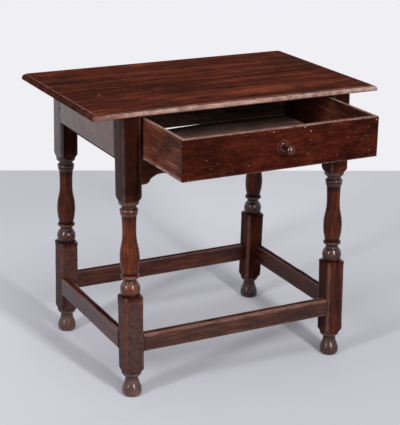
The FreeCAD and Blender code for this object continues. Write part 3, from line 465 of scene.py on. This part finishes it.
# ------------------------------------------------------------------ boards
STEP = 8 * MM            # length of a facet along a board's edge
HOLLOW_SIZE = 0.07       # of the shallow hollows that a plane leaves
UNEVEN_SIZE = 0.045      # of the changes in how far an edge is worn
NICK_SIZE = 0.016
NO_NICK = 0.35           # level of the noise up to which there is no nick
# Painted shade on the face of a board that lies down.
UNDER_SHADE = 0.3        # of a face that lies down
SPARED = 0.35            # share of the rubbing that is left where a side is spared
BLUNT = 2.4 * MM         # lost at a corner that is knocked round


def arris(radius, worn=1.0, guard=3 * MM):
    """Edge profile of a rubbed corner: (inset, drop, wear), from the face to the flat.  Wear
    below nothing darkens instead: dirt and painted shade."""
    profile = [(0.0, radius + guard, 0.0)]
    for step in range(4):
        angle = math.radians(30 * step)
        profile.append((radius * (1 - math.cos(angle)), radius * (1 - math.sin(angle)),
                        worn * (0.75 if step in (0, 3) else 1.0)))
    profile.append((radius + guard, 0.0, 0.0))
    return profile


class Side:
    """One side of a board's plan: how its upper and lower edges are worn, how much it is darkened
    by dirt and painted shade, and the length from its start over which it is rubbed less."""

    def __init__(self, top, low, uneven=0.45, nicks=0.0, grime=0.0, spared=0.0):
        self.top = top
        self.low = low
        self.uneven = uneven
        self.nicks = nicks
        self.grime = grime
        self.spared = spared


def board(node, low_corners, high_corners, z_low, z_high, sides, body, slot, material,
          stations=None, sag=None, levels=1, wave=0.25 * MM, seed=0.0, top_wear=0.0,
          upper_material=None, blunt=()):
    """A board whose plan has square corners, anticlockwise, with worn edges and faces that are
    not quite true, in place of a CAD node.  stations are shares of a side, by its number, at
    which it is divided; sag(x) raises the lower edge, as a shaped rail's is; levels is how
    often the faces are divided between their edges, and wave how deep their hollows are;
    upper_material is for a face that lies up; blunt names the corners that are knocked round."""
    corners = [(Vector(low), Vector(high)) for low, high in zip(low_corners, high_corners)]
    total = len(corners)
    inward = []
    ring = []
    for index in range(total):
        start, end = corners[index][0], corners[(index + 1) % total][0]
        along = (end - start).normalized()
        inward.append(Vector((-along.y, along.x)))
        pieces = max(1, round((end - start).length / STEP))
        shares = (stations or {}).get(index) or [k / pieces for k in range(pieces)]
        ring += [(index, share) for share in shares]
    points, wears, grimes = [], [], []
    count = len(ring)

    def profile(side, upper):
        """Edge profile of a side, by its number."""
        return sides[side % total].top if upper else sides[side % total].low

    def put(index, share, z, inset, beside, nick=0.0):
        """Add a point of a side's face, inset from it and moved beside it."""
        low = corners[index][0].lerp(corners[(index + 1) % total][0], share)
        high = corners[index][1].lerp(corners[(index + 1) % total][1], share)
        flat = low.lerp(high, (z - z_low) / (z_high - z_low))
        hollow = wave * (0.5 + 0.5 * ripple((flat.x, flat.y, z), HOLLOW_SIZE, seed + 3))
        flat = flat + inward[index] * (inset + hollow + nick) + beside
        points.append((flat.x, flat.y, z - nick * 0.4))

    def lay(upper, level):
        """Add the ring of points at one level of the upper or lower edge profiles."""
        for index, share in ring:
            start, end = corners[index][upper], corners[(index + 1) % total][upper]
            base = start.lerp(end, share)
            spot = (base.x, base.y, z_high if upper else z_low)
            side = sides[index]
            factor = 1 + side.uneven * ripple(spot, UNEVEN_SIZE, seed)
            inset, drop, wear = profile(index, upper)[level]
            before, after = profile(index - 1, upper)[level], profile(index + 1, upper)[level]
            if side.spared and wear > 0:
                wear *= blend_between(SPARED, 1.0, clamp((base - start).length / side.spared))
            if share == 0:
                drop = (drop + before[1]) / 2
                wear = max(wear, 0.0 if side.spared else before[2])
            nick = 0.0
            if wear > 0:
                nick = max(0.0, ripple(spot, NICK_SIZE, seed + 9) - NO_NICK) * side.nicks
            beside = (inward[index - 1] * before[0] * (1 - share)
                      + inward[(index + 1) % total] * after[0] * share) * factor
            if share == 0 and index in blunt:
                beside += (inward[index] + inward[index - 1]) * BLUNT
            floor = z_low + (sag(base.x) if sag and not upper else 0.0)
            z = z_high - drop * factor if upper else floor + drop * factor
            put(index, share, z, inset * factor, beside, nick)
            wears.append(max(wear, 0.0) + clamp(nick / (1 * MM)) * 0.8)
            grimes.append(max(-wear, side.grime if drop > 0 or 0 < inset < 2 * MM else 0.0))

    low_count = len(sides[0].low)
    high_count = len(sides[0].top)
    for level in reversed(range(low_count)):
        lay(False, level)
    for middle in range(levels):
        rise = (middle + 1) / (levels + 1)
        for index, share in ring:
            low = corners[index][0].lerp(corners[(index + 1) % total][0], share)
            floor = z_low + (sag(low.x) if sag else 0.0)
            z = blend_between(floor + sides[index].low[0][1], z_high - sides[index].top[0][1],
                              rise)
            put(index, share, z, 0.0, Vector((0, 0)))
            wears.append(0.0)
            grimes.append(sides[index].grime)
    for level in range(high_count):
        lay(True, level)

    rings = low_count + levels + high_count
    faces = wall_faces(count, rings)
    for upper in (False, True):
        cap_start = len(faces)
        first = (rings - 1) * count if upper else 0
        loop = list(range(first, first + count))
        for index in loop:
            wears[index] = max(wears[index], top_wear if upper else 0.0)
            grimes[index] = max(grimes[index], 0.0 if upper else UNDER_SHADE)
        if total == 4:
            faces += cap_grid(loop, ring, points, wears, grimes, upper)
        else:
            faces.append(tuple(loop) if upper else tuple(reversed(loop)))
    materials, picks = [material], None
    if upper_material:
        materials.append(upper_material)
        picks = [int(index >= cap_start) for index in range(len(faces))]
    show(f"{node}_worn", points, faces, wears, grimes, body, materials, [node], picks)


def cap_grid(loop, ring, points, wears, grimes, upper):
    """Close a four-sided board with a grid that keeps to the points on its rim."""
    across, down = (sum(1 for entry in ring if entry[0] == side) for side in (0, 1))
    south = loop[:across + 1]
    east = loop[across:across + down + 1]
    north = list(reversed(loop[across + down:2 * across + down + 1]))
    west = list(reversed(loop[2 * across + down:] + [loop[0]]))
    grid = [south]
    for row in range(1, down):
        share = row / down
        line = [west[row]]
        for column in range(1, across):
            a, b = points[south[column]], points[north[column]]
            points.append(tuple(blend_between(a[i], b[i], share) for i in range(3)))
            wears.append(min(wears[west[row]], wears[south[column]]))
            grimes.append(min(grimes[west[row]], grimes[south[column]]))
            line.append(len(points) - 1)
        line.append(east[row])
        grid.append(line)
    grid.append(north)
    faces = []
    for row in range(len(grid) - 1):
        for k in range(across):
            quad = (grid[row][k], grid[row][k + 1], grid[row + 1][k + 1], grid[row + 1][k])
            faces.append(quad if upper else tuple(reversed(quad)))
    return faces


def four_corners(x_low, x_high, y_low, y_high):
    """Plan of a board, anticlockwise from its front left corner."""
    return [(x_low, y_low), (x_high, y_low), (x_high, y_high), (x_low, y_high)]


# ------------------------------------------------------------------ table top
THUMB_FOOT = 2.5 * MM       # upright fillet under the thumb moulding
THUMB_ROUND = 8 * MM
THUMB_STEP = 1.5 * MM       # fillet above it
THUMB_FLAT = 1 * MM
PLANED_OFF = 0.1 * MM       # what keeps the worn top inside its solid


def thumb(worn, step_worn):
    """Edge profile of the thumb moulding, from the upright fillet to the flat of the top."""
    thick = THUMB_FOOT + THUMB_ROUND + THUMB_STEP
    profile = [(0.0, thick - THUMB_FOOT * 0.6, 0.3 * worn), (0.0, thick - THUMB_FOOT, 0.8 * worn)]
    for step in range(1, 7):
        angle = math.radians(15 * step)
        profile.append((THUMB_ROUND * (1 - math.cos(angle)),
                        THUMB_STEP + THUMB_ROUND * (1 - math.sin(angle)), worn))
    edge = THUMB_ROUND + THUMB_FLAT
    # The riser of the step and the flat at its foot are darkened: painted shade in the step.
    profile += [(edge - 0.6 * MM, THUMB_STEP, -1.0), (edge, THUMB_STEP * 0.9, -1.0),
                (edge, 0.45 * MM, -0.6), (edge + 0.5 * MM, 0.0, step_worn),
                (edge + 2.5 * MM, 0.0, 0.15 * step_worn), (edge + 8 * MM, 0.0, 0.0)]
    return profile


def joint_edge(moulding):
    """Edge profile of a plain joint, level for level with the moulding that it runs into."""
    flat = iter(((1.2 * MM, 0.0), (1.95 * MM, 0.0), (5 * MM, 0.0)))
    profile = []
    for inset, drop, wear in moulding:
        across, rubbed = next(flat) if drop == 0 else (0.0, min(wear, 0.0))
        profile.append((across, drop, rubbed))
    return profile


def build_top():
    low_arris = arris(0.5 * MM, 0.3, 0.5 * MM)
    rubbed = thumb(0.92, 0.95)
    front = Side(rubbed, low_arris, uneven=0.0, nicks=0.5 * MM, spared=170 * MM)
    end = Side(thumb(0.05, 0.8), low_arris, uneven=0.0, nicks=0.8 * MM, grime=0.45)
    other_end = Side(thumb(0.4, 0.7), low_arris, uneven=0.0, nicks=0.5 * MM)
    butt = Side(joint_edge(rubbed), low_arris, uneven=0.0, grime=0.9)
    back = Side(joint_edge(rubbed), low_arris, uneven=0.0, nicks=0.5 * MM)
    for node, sides, blunt, seed in (
            ("top_board_front", [front, other_end, butt, end], (0, 1), 1.0),
            ("top_board_back", [butt, other_end, back, end], (2, 3), 2.0)):
        low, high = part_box(node)
        corners = four_corners(low.x, high.x, low.y, high.y)
        board(node, corners, corners, low.z, high.z - PLANED_OFF, sides, "table", "oak_top",
              OAK_TOP, seed=seed, wave=0.15 * MM, levels=0, blunt=blunt)


# ------------------------------------------------------------------ legs
HALF_LEG = LEG_SQUARE / 2
LEG_TOP = UNDERSIDE / math.cos(RAKE)      # along the leg, as all heights here
LOW_LEVELS = range(81, 249, 6)            # mm, at which the square blocks are divided
HIGH_LEVELS = range(513, 690, 8)
BALL_TOP = 307 * MM
NECK_LOW = 455 * MM
SHOULDER_LOW = 486 * MM
UNTURNED = 1.0           # radius that stands for none, in a square block
SLICE = 0.6 * MM         # height in which turned points count as one level
NEARBY = 9 * MM          # height either side over which a radius is compared
LEDGE = 0.7 * MM         # difference of radius that makes a level a ledge
CORNER_FAN = (0, 2, 4, 6.5, 9.5, 13, 18, 25, 33, 41)    # degrees either side of a corner
LOW_CORNER = 4.5 * MM    # radius of the lower block's corners, which feet and mops knock
HIGH_CORNER = 2.0 * MM
BLOCK, VASE, RINGS, LEFT_FACE, FOOT = range(5)          # order of a leg's materials


def leg_profile(node, to_leg):
    """Turned profile of a leg as (height, radius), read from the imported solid's own points:
    every point of the turned parts lies on it.  A ledge shows as two radii at one height."""
    found = {}
    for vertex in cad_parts[node].data.vertices:
        local = to_leg @ vertex.co
        if LOW_BLOCK[0] < local.z < LOW_BLOCK[1] or local.z > UP_BLOCK_LOW:
            continue
        entry = found.setdefault(round(local.z / SLICE), [])
        entry.append((local.z, math.hypot(local.x, local.y)))
    profile = []
    for key in sorted(found):
        spots = sorted(found[key], key=lambda spot: spot[1])
        narrow, wide = spots[0], spots[-1]
        if wide[1] - narrow[1] < LEDGE:
            profile.append(spots[len(spots) // 2])
        elif profile and abs(profile[-1][1] - narrow[1]) < abs(profile[-1][1] - wide[1]):
            profile += [narrow, (max(wide[0], narrow[0] + 0.05 * MM), wide[1])]
        else:
            profile += [wide, (max(narrow[0], wide[0] + 0.05 * MM), narrow[1])]
    return profile


def leg_levels(node, to_leg):
    """Every level of a leg from its sole up, as (height, radius)."""
    profile = leg_profile(node, to_leg)
    levels = [spot for spot in profile if spot[0] < LOW_BLOCK[0] or spot[0] > LOW_BLOCK[1]]
    levels += [(z * MM, UNTURNED) for z in (*LOW_LEVELS, *HIGH_LEVELS)] + [(LEG_TOP, UNTURNED)]
    return sorted(levels, key=lambda spot: spot[0])


def leg_angles():
    """Directions of a ring's points, closest together at the corners of the blocks."""
    angles = set()
    for quarter in range(4):
        for off in CORNER_FAN:
            for way in (-1, 1):
                angles.add(round((45 + 90 * quarter + way * off) % 360, 3))
    return [math.radians(a) for a in sorted(angles)]


def off_face(angle):
    """Angle from the middle of the nearest of a block's four faces."""
    return abs((angle + math.pi / 4) % (math.pi / 2) - math.pi / 4)


def square_reach(angle, half, corner):
    """Distance from the middle of a square with rounded corners to its edge."""
    turn = off_face(angle)
    if half * math.tan(turn) <= half - corner:
        return half / math.cos(turn)
    centre = math.sqrt(2) * (half - corner)
    off = math.pi / 4 - turn
    return centre * math.cos(off) + math.sqrt(max(0.0, corner ** 2
                                                  - (centre * math.sin(off)) ** 2))


def worn_square(angle, spot, seed):
    """Distance from the middle of a block to its rubbed and chipped outside."""
    rub = 1 + 0.55 * ripple(spot, 0.05, seed)
    chip = max(0.0, ripple(spot, 0.013, seed + 5) - 0.42) * 3 * MM
    corner = (HIGH_CORNER if spot[2] > LOW_BLOCK[1] else LOW_CORNER) * rub + chip
    return square_reach(angle, HALF_LEG, corner) - 0.15 * MM


def leg_wear(z, angle, in_block, bulge, scuffed, corner_wear):
    """Rubbing of a block's corners, of all that feet reach, and of the bulges."""
    spread = math.radians(8.5 if z > LOW_BLOCK[1] else 13)
    on_corner = clamp(1 - (math.pi / 4 - off_face(angle)) / spread)
    wear = in_block * on_corner * (0.45 if z > UP_BLOCK_LOW else corner_wear)
    if z < LOW_BLOCK[1]:
        wear = max(wear, scuffed * (1 if in_block else 0.4))
    return wear + (1 - in_block) * clamp(bulge / (3 * MM)) * 0.12


def leg_grime(z, angle, in_block, bulge):
    """Darkening: old wax and painted shade in the coves, and painted shade under the top and on
    the front of the upper block.
    """
    grime = (1 - in_block) * clamp(-bulge / (1.3 * MM))
    grime = max(grime, clamp(1 - (LEG_TOP - z) / (14 * MM)) * 0.6)
    # Painted shade on the front face of the upper block, under the top and beside the drawer.
    if z > UP_BLOCK_LOW:
        grime = max(grime, 0.75 * clamp(-math.sin(angle) * 1.6 - 0.35))
    return grime


def leg_picks(faces, points, turned, to_leg):
    """Number of each face's material."""
    picks = []
    for face in faces:
        spots = [to_leg @ points[corner] for corner in face]
        z = sum(spot.z for spot in spots) / len(spots)
        if all(turned[corner] for corner in face):
            upper = VASE if BALL_TOP < z < NECK_LOW else RINGS
            picks.append(FOOT if z < LOW_BLOCK[0] else upper)
        else:
            left = max(spot.x for spot in spots) < -0.6 * HALF_LEG
            picks.append(LEFT_FACE if left and z > SHOULDER_LOW else BLOCK)
    return picks


def build_leg(node, seed, scuffed, corner_wear, looks):
    """One leg.  looks are the materials of its blocks, of its vase, of its rings and ball, of
    the left face of its upper block, and of its foot."""
    low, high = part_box(node)
    front = "front" in node
    foot = Vector(((low.x + high.x) / 2, MIDDLE_Y + (-FOOT_Y if front else FOOT_Y), 0))
    lean = -RAKE if front else RAKE
    from_leg = Matrix.Translation(foot) @ Matrix.Rotation(lean, 4, "X")
    to_leg = from_leg.inverted()
    levels = leg_levels(node, to_leg)
    angles = leg_angles()
    points, wears, grimes, turned = [], [], [], []
    for index, (z, radius) in enumerate(levels):
        near = [r for h, r in levels if abs(h - z) < NEARBY and r < UNTURNED]
        bulge = radius - sum(near) / len(near) if near and radius < UNTURNED else 0.0
        for angle in angles:
            spot = (foot.x + math.cos(angle) * HALF_LEG, foot.y + math.sin(angle) * HALF_LEG, z)
            square = worn_square(angle, spot, seed)
            dent = 0.12 * MM * (1 + ripple(spot, 0.02, seed + 2))
            reach = min(square, radius - dent)
            in_block = 1.0 if square < radius and radius > HALF_LEG + 1 * MM else 0.0
            lift = 0.0
            if index in (0, len(levels) - 1):
                lift = -math.sin(angle) * reach * math.tan(lean)
            point = from_leg @ Vector((math.cos(angle) * reach, math.sin(angle) * reach,
                                       z + lift))
            point.z = clamp(point.z, 0.0, UNDERSIDE)
            points.append(point)
            wears.append(leg_wear(z, angle, in_block, bulge, scuffed, corner_wear))
            grimes.append(leg_grime(z, angle, in_block, bulge))
            turned.append(not in_block)
    count = len(angles)
    faces = wall_faces(count, len(levels))
    last = (len(levels) - 1) * count
    faces += [tuple(reversed(range(count))), tuple(range(last, last + count))]
    show(f"{node}_worn", points, faces, wears, grimes, "table", looks, [node],
         leg_picks(faces, points, turned, to_leg))


def build_legs():
    # The front left leg's turned parts are paler than the other legs': partly their own tone,
    # partly painted light and shade.
    dark = [OAK_LEG, OAK_VASE_DARK, OAK_RINGS_DARK, OAK_LEG, OAK_RINGS_DARK]
    lit = [OAK_LEG, OAK_VASE, OAK_RINGS, OAK_LEG_LEFT_SHADE, OAK_FOOT]
    with_left_sheen = [OAK_LEG, OAK_VASE_DARK, OAK_RINGS_DARK, OAK_LEG_LEFT_SHEEN, OAK_FOOT]
    for number, (node, scuffed, corner_wear, looks) in enumerate((
            ("leg_front_left", 0.18, 0.6, lit), ("leg_front_right", 0.04, 0.35, dark),
            ("leg_back_left", 0.16, 0.4, with_left_sheen), ("leg_back_right", 0.0, 0.35, dark))):
        build_leg(node, 31.0 + number, scuffed, corner_wear, looks)


# ------------------------------------------------------------------ rails and stretchers
THICK = 20 * MM          # square to a member's faces
TENON_REACH = 30 * MM * math.cos(RAKE)
# Darkened where a member meets a leg: dirt and painted shade in the corner.
SHOULDER = Side(arris(0.5 * MM, 0.0), arris(0.5 * MM, 0.0), grime=0.8)    # against a leg

BRACKET_FLAT = 8 * MM
BRACKET_BULGE = 12 * MM
BRACKET_RISE = 10 * MM
BRACKET_COVE = 27 * MM
BRACKET_DROP = 21 * MM
BRACKET_STOPS = (0.0, 4, 8, 12, 15, 17, 18.5, 19.4, 19.9,    # mm, where a bracket is divided
                 *(20.4 + 2.7 * k for k in range(11)))
MIDDLE_PIECES = 48       # of the lower edge between the brackets


def plain_side(radius=1.2 * MM, worn=0.5, nicks=0.0):
    """A side whose upper and lower arrises are alike."""
    return Side(arris(radius, worn), arris(radius, worn), nicks=nicks)


def build_cross_member(node, material, front_side, back_side, seed, **more):
    """A rail or stretcher between two legs, left to right, leaning with them."""
    low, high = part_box(node)
    front = low.y < END_RAIL_FRONT
    lean = (high.z - low.z) * math.tan(RAKE) * (1 if front else -1)
    thick = THICK / math.cos(RAKE)
    y_low = low.y if front else high.y - thick
    bottom = four_corners(-INSIDE, INSIDE, y_low, y_low + thick)
    upper = [(x, y + lean) for x, y in bottom]
    board(node, bottom, upper, low.z, high.z, [front_side, SHOULDER, back_side, SHOULDER],
          "table", "oak_frame", material, seed=seed, upper_material=OAK_X_UP, **more)


def build_end_member(node, material, outer_side, inner_side, seed):
    """A rail or stretcher between a front and a back leg."""
    low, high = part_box(node)
    left = high.x < 0
    spread = (high.z - low.z) * math.tan(RAKE)
    inner_low = (high.y - low.y) / 2 - TENON_REACH
    outlines = []
    for half in (inner_low, inner_low - spread):
        outlines.append(four_corners(low.x, high.x, MIDDLE_Y - half, MIDDLE_Y + half))
    right_side, left_side = (inner_side, outer_side) if left else (outer_side, inner_side)
    board(node, *outlines, low.z, high.z, [SHOULDER, right_side, SHOULDER, left_side],
          "table", "oak_frame", material, seed=seed, upper_material=OAK_Y_UP)


def bracket_lift(x):
    """Height of the drawer rail's lower edge above the foot of its brackets."""
    along = INSIDE - abs(x) - BRACKET_FLAT
    if along <= 0:
        return 0.0
    if along <= BRACKET_BULGE:
        share = along / BRACKET_BULGE
        return BRACKET_RISE * (1 - math.sqrt(max(0.0, 1 - share ** 2)))
    share = clamp((along - BRACKET_BULGE) / BRACKET_COVE)
    return blend_between(BRACKET_RISE, BRACKET_DROP, math.sin(share * math.pi / 2))


def bracket_stations():
    """Where the drawer rail is divided: finely along its brackets."""
    near = [stop * MM for stop in BRACKET_STOPS]
    length = 2 * INSIDE
    middle = [near[-1] + (length - 2 * near[-1]) * k / MIDDLE_PIECES
              for k in range(1, MIDDLE_PIECES)]
    stops = near + middle + [length - stop for stop in reversed(near[1:])]
    return [stop / length for stop in stops]


def build_members():
    hard_worn = Side(arris(4.2 * MM, 0.85), arris(1.4 * MM, 0.35), uneven=0.6, nicks=3 * MM)
    soft = plain_side(1.3 * MM, 0.45, nicks=0.8 * MM)
    inner = plain_side(1.0 * MM, 0.2)
    build_cross_member("stretcher_front", OAK_STRETCHER, hard_worn, soft, 11.0)
    build_cross_member("stretcher_back", OAK_X, soft, soft, 12.0)
    build_cross_member("back_rail", OAK_X, inner, plain_side(), 13.0, levels=4)
    stations = bracket_stations()
    build_cross_member("drawer_rail", OAK_RAIL_SHADED, soft, inner, 14.0, sag=bracket_lift,
                       stations={0: stations, 2: stations})
    rubbed = Side(arris(2.6 * MM, 0.9), arris(1.4 * MM, 0.45), uneven=0.6, nicks=2 * MM)
    build_end_member("stretcher_left", OAK_Y, rubbed, soft, 15.0)
    build_end_member("stretcher_right", OAK_Y_DULL, rubbed, soft, 16.0)
    build_end_member("end_rail_left", OAK_END, plain_side(1.2 * MM, 0.4), inner, 17.0)
    build_end_member("end_rail_right", OAK_END, plain_side(1.2 * MM, 0.4), inner, 18.0)


# ------------------------------------------------------------------ drawer
LIP = 5 * MM             # thickness of the front where it covers the ends of the sides


def thin_side(worn, low_worn, **more):
    """A side of a thin board, with small arrises."""
    return Side(arris(1.1 * MM, worn, 1.6 * MM), arris(1.1 * MM, low_worn, 1.6 * MM), **more)


def build_drawer():
    low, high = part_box("drawer_front")
    side_low, side_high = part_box("drawer_side_left")
    inner = -side_high.x
    edge = thin_side(1.0, 0.5, nicks=1.2 * MM)
    # The inner faces of the sides, and the faces of the front that turn in, are darkened: painted
    # shade inside the drawer.
    shaded_inside = thin_side(1.0, 0.1, grime=0.5)
    tucked = thin_side(0.9, 0.1, grime=0.4)
    plan = [(low.x, low.y), (high.x, low.y), (high.x, low.y + LIP), (inner, low.y + LIP),
            (inner, high.y), (-inner, high.y), (-inner, low.y + LIP), (low.x, low.y + LIP)]
    board("drawer_front", plan, plan, low.z, high.z,
          [edge, edge, tucked, tucked, edge, tucked, tucked, edge], "drawer", "oak_drawer",
          OAK_FRONT, levels=5, top_wear=0.55, seed=21.0)
    for node, seed in (("drawer_side_left", 22.0), ("drawer_side_right", 23.0)):
        side_low, side_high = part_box(node)
        corners = four_corners(side_low.x, side_high.x, side_low.y, side_high.y)
        sides = [edge, shaded_inside, edge, edge] if side_high.x < 0 else [edge, edge, edge, shaded_inside]
        board(node, corners, corners, side_low.z, side_high.z, sides, "drawer", "oak_drawer",
              OAK_SIDE, levels=5, top_wear=0.85, seed=seed)
    back_low, back_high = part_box("drawer_back")
    corners = four_corners(back_low.x, back_high.x, back_low.y, back_high.y)
    board("drawer_back", corners, corners, back_low.z, back_high.z, [edge] * 4, "drawer",
          "oak_inside", OAK_BARE, levels=5, top_wear=0.5, seed=24.0)


# ------------------------------------------------------------------ stage, lights and camera
# The floor's paler far tone, to the back and away from the middle, is painted light: it makes up
# for the lamps' light, which falls off there.
FLOOR_NEAR_TONE = (0.46, 0.465, 0.505)
FLOOR_FAR_TONE = (0.80, 0.80, 0.85)
FLOOR_FADE = (-0.75, 1.2)     # where the floor's tone goes from near to far, to the back
FLOOR_RIM = (3.6, 5.5)        # the same, away from the middle
FLOOR_REACH = 8.0
FLOOR_BEHIND = 1.665     # from the middle of the frame to the floor's far edge, along the view
FLOOR_EDGE_YAW = math.radians(2.4)
BACKDROP_TONE = (0.872, 0.864, 0.906)
SKY_TONE = (0.97, 0.98, 1.0)
SKY_STRENGTH = 0.42
WHITE = (1, 1, 1)
LAMPS = {    # place, size, watts and colour
    "softbox_front": ((0.17, -3.1, 1.8), (0.28, 2.0), 92, WHITE),
    "softbox_left": ((-2.9, -0.95, 1.75), (0.26, 2.0), 56, (0.95, 0.92, 1.0)),
    "overhead": ((-0.3, -1.2, 3.2), (1.6, 1.6), 20, WHITE),
}
LAMP_AIM = (0, 0.05, 0.4)


def build_floor():
    """A plane that ends where the photograph's floor does, painted paler to the back and sides,
    where the lamps' light falls off.
    """
    look = Look("floor")
    depth = look.add("ShaderNodeSeparateXYZ")
    look.feed(depth.inputs[0], look.add("ShaderNodeTexCoord").outputs["Object"])
    share = look.maths("MAXIMUM", look.span(depth.outputs["Y"], *FLOOR_FADE),
                       look.span(look.away_from((0, 0, 0)), *FLOOR_RIM))
    look.feed(look.shader.inputs["Base Color"],
              look.mix(share, (*FLOOR_NEAR_TONE, 1), (*FLOOR_FAR_TONE, 1)))
    look.shader.inputs["Roughness"].default_value = 0.9
    foot = Vector((math.sin(CAMERA_YAW), math.cos(CAMERA_YAW), 0)) * FLOOR_BEHIND
    turn = CAMERA_YAW - FLOOR_EDGE_YAW
    side = Vector((math.cos(turn), -math.sin(turn), 0)) * FLOOR_REACH
    ahead = Vector((math.sin(turn), math.cos(turn), 0)) * FLOOR_REACH
    mesh = bpy.data.meshes.new("floor")
    mesh.from_pydata([tuple(point) for point in (
        foot - side - ahead, foot + side - ahead, foot + side, foot - side)], [], [(0, 1, 2, 3)])
    mesh.materials.append(look.material)
    piece = bpy.data.objects.new("floor", mesh)
    bpy.context.scene.collection.objects.link(piece)


def softbox(name, at, size, watts, colour):
    """A rectangular lamp that faces the table."""
    light = bpy.data.lights.new(name, "AREA")
    light.color = colour
    light.shape = "RECTANGLE"
    light.size, light.size_y = size
    light.energy = watts
    lamp = bpy.data.objects.new(name, light)
    bpy.context.scene.collection.objects.link(lamp)
    lamp.location = at
    lamp.rotation_mode = "QUATERNION"
    lamp.rotation_quaternion = (Vector(LAMP_AIM) - Vector(at)).to_track_quat("-Z", "Y")


def build_world():
    """The sky that lights the object, behind a plain backdrop that the camera, gloss and glass
    see instead."""
    world = bpy.data.worlds.new("studio")
    bpy.context.scene.world = world
    world.use_nodes = True
    tree = world.node_tree
    sky = tree.nodes["Background"]
    sky.inputs["Color"].default_value = (*SKY_TONE, 1)
    sky.inputs["Strength"].default_value = SKY_STRENGTH
    backdrop = tree.nodes.new("ShaderNodeBackground")
    backdrop.inputs["Color"].default_value = (*BACKDROP_TONE, 1)
    rays = tree.nodes.new("ShaderNodeLightPath")
    seen = rays.outputs["Is Camera Ray"]
    for kind in ("Is Glossy Ray", "Is Transmission Ray"):
        either = tree.nodes.new("ShaderNodeMath")
        either.operation = "MAXIMUM"
        tree.links.new(seen, either.inputs[0])
        tree.links.new(rays.outputs[kind], either.inputs[1])
        seen = either.outputs[0]
    choice = tree.nodes.new("ShaderNodeMixShader")
    tree.links.new(seen, choice.inputs[0])
    tree.links.new(sky.outputs[0], choice.inputs[1])
    tree.links.new(backdrop.outputs[0], choice.inputs[2])
    tree.links.new(choice.outputs[0], tree.nodes["World Output"].inputs["Surface"])


def build_camera():
    """The camera that took the photograph."""
    ahead = Vector((math.sin(CAMERA_YAW) * math.cos(CAMERA_PITCH),
                    math.cos(CAMERA_YAW) * math.cos(CAMERA_PITCH), math.sin(CAMERA_PITCH)))
    right = Vector((math.cos(CAMERA_YAW), -math.sin(CAMERA_YAW), 0))
    up = right.cross(ahead)
    turn, rise = math.cos(CAMERA_ROLL), math.sin(CAMERA_ROLL)
    right, up = right * turn + up * rise, up * turn - right * rise
    camera = bpy.data.objects.new("camera", bpy.data.cameras.new("camera"))
    bpy.context.scene.collection.objects.link(camera)
    camera.matrix_world = Matrix.Translation(CAMERA_AT) @ Matrix(
        (right, up, -ahead)).transposed().to_4x4()
    wide, tall = PHOTO_SIZE
    long_side = max(PHOTO_SIZE)
    camera.data.sensor_width = SENSOR
    camera.data.lens = SENSOR * FOCAL_PIXELS / long_side
    camera.data.shift_x = (wide / 2 - PHOTO_CENTRE[0]) / long_side
    camera.data.shift_y = (PHOTO_CENTRE[1] - tall / 2) / long_side
    bpy.context.scene.camera = camera


# ------------------------------------------------------------------ the scene
def dress_cad_nodes():
    """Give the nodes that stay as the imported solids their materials."""
    finishes = {
        "top_pegs": OAK_TOP_PEG, "rail_pegs": OAK_PEG, "stretcher_pegs": OAK_PEG,
        "drawer_runner_left": OAK_BARE, "drawer_runner_right": OAK_BARE,
        "drawer_bottom_front": OAK_BOTTOM, "drawer_bottom_back": OAK_BOTTOM,
        "drawer_knob": OAK_KNOB, "runner_nails": IRON, "drawer_nails": IRON,
    }
    for node, material in finishes.items():
        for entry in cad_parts[node].material_slots:
            entry.material = material


build_top()
build_legs()
build_members()
build_drawer()
dress_cad_nodes()
build_floor()
build_world()
for lamp_name, lamp_values in LAMPS.items():
    softbox(lamp_name, *lamp_values)
build_camera()
bpy.context.scene.view_settings.view_transform = "Standard"
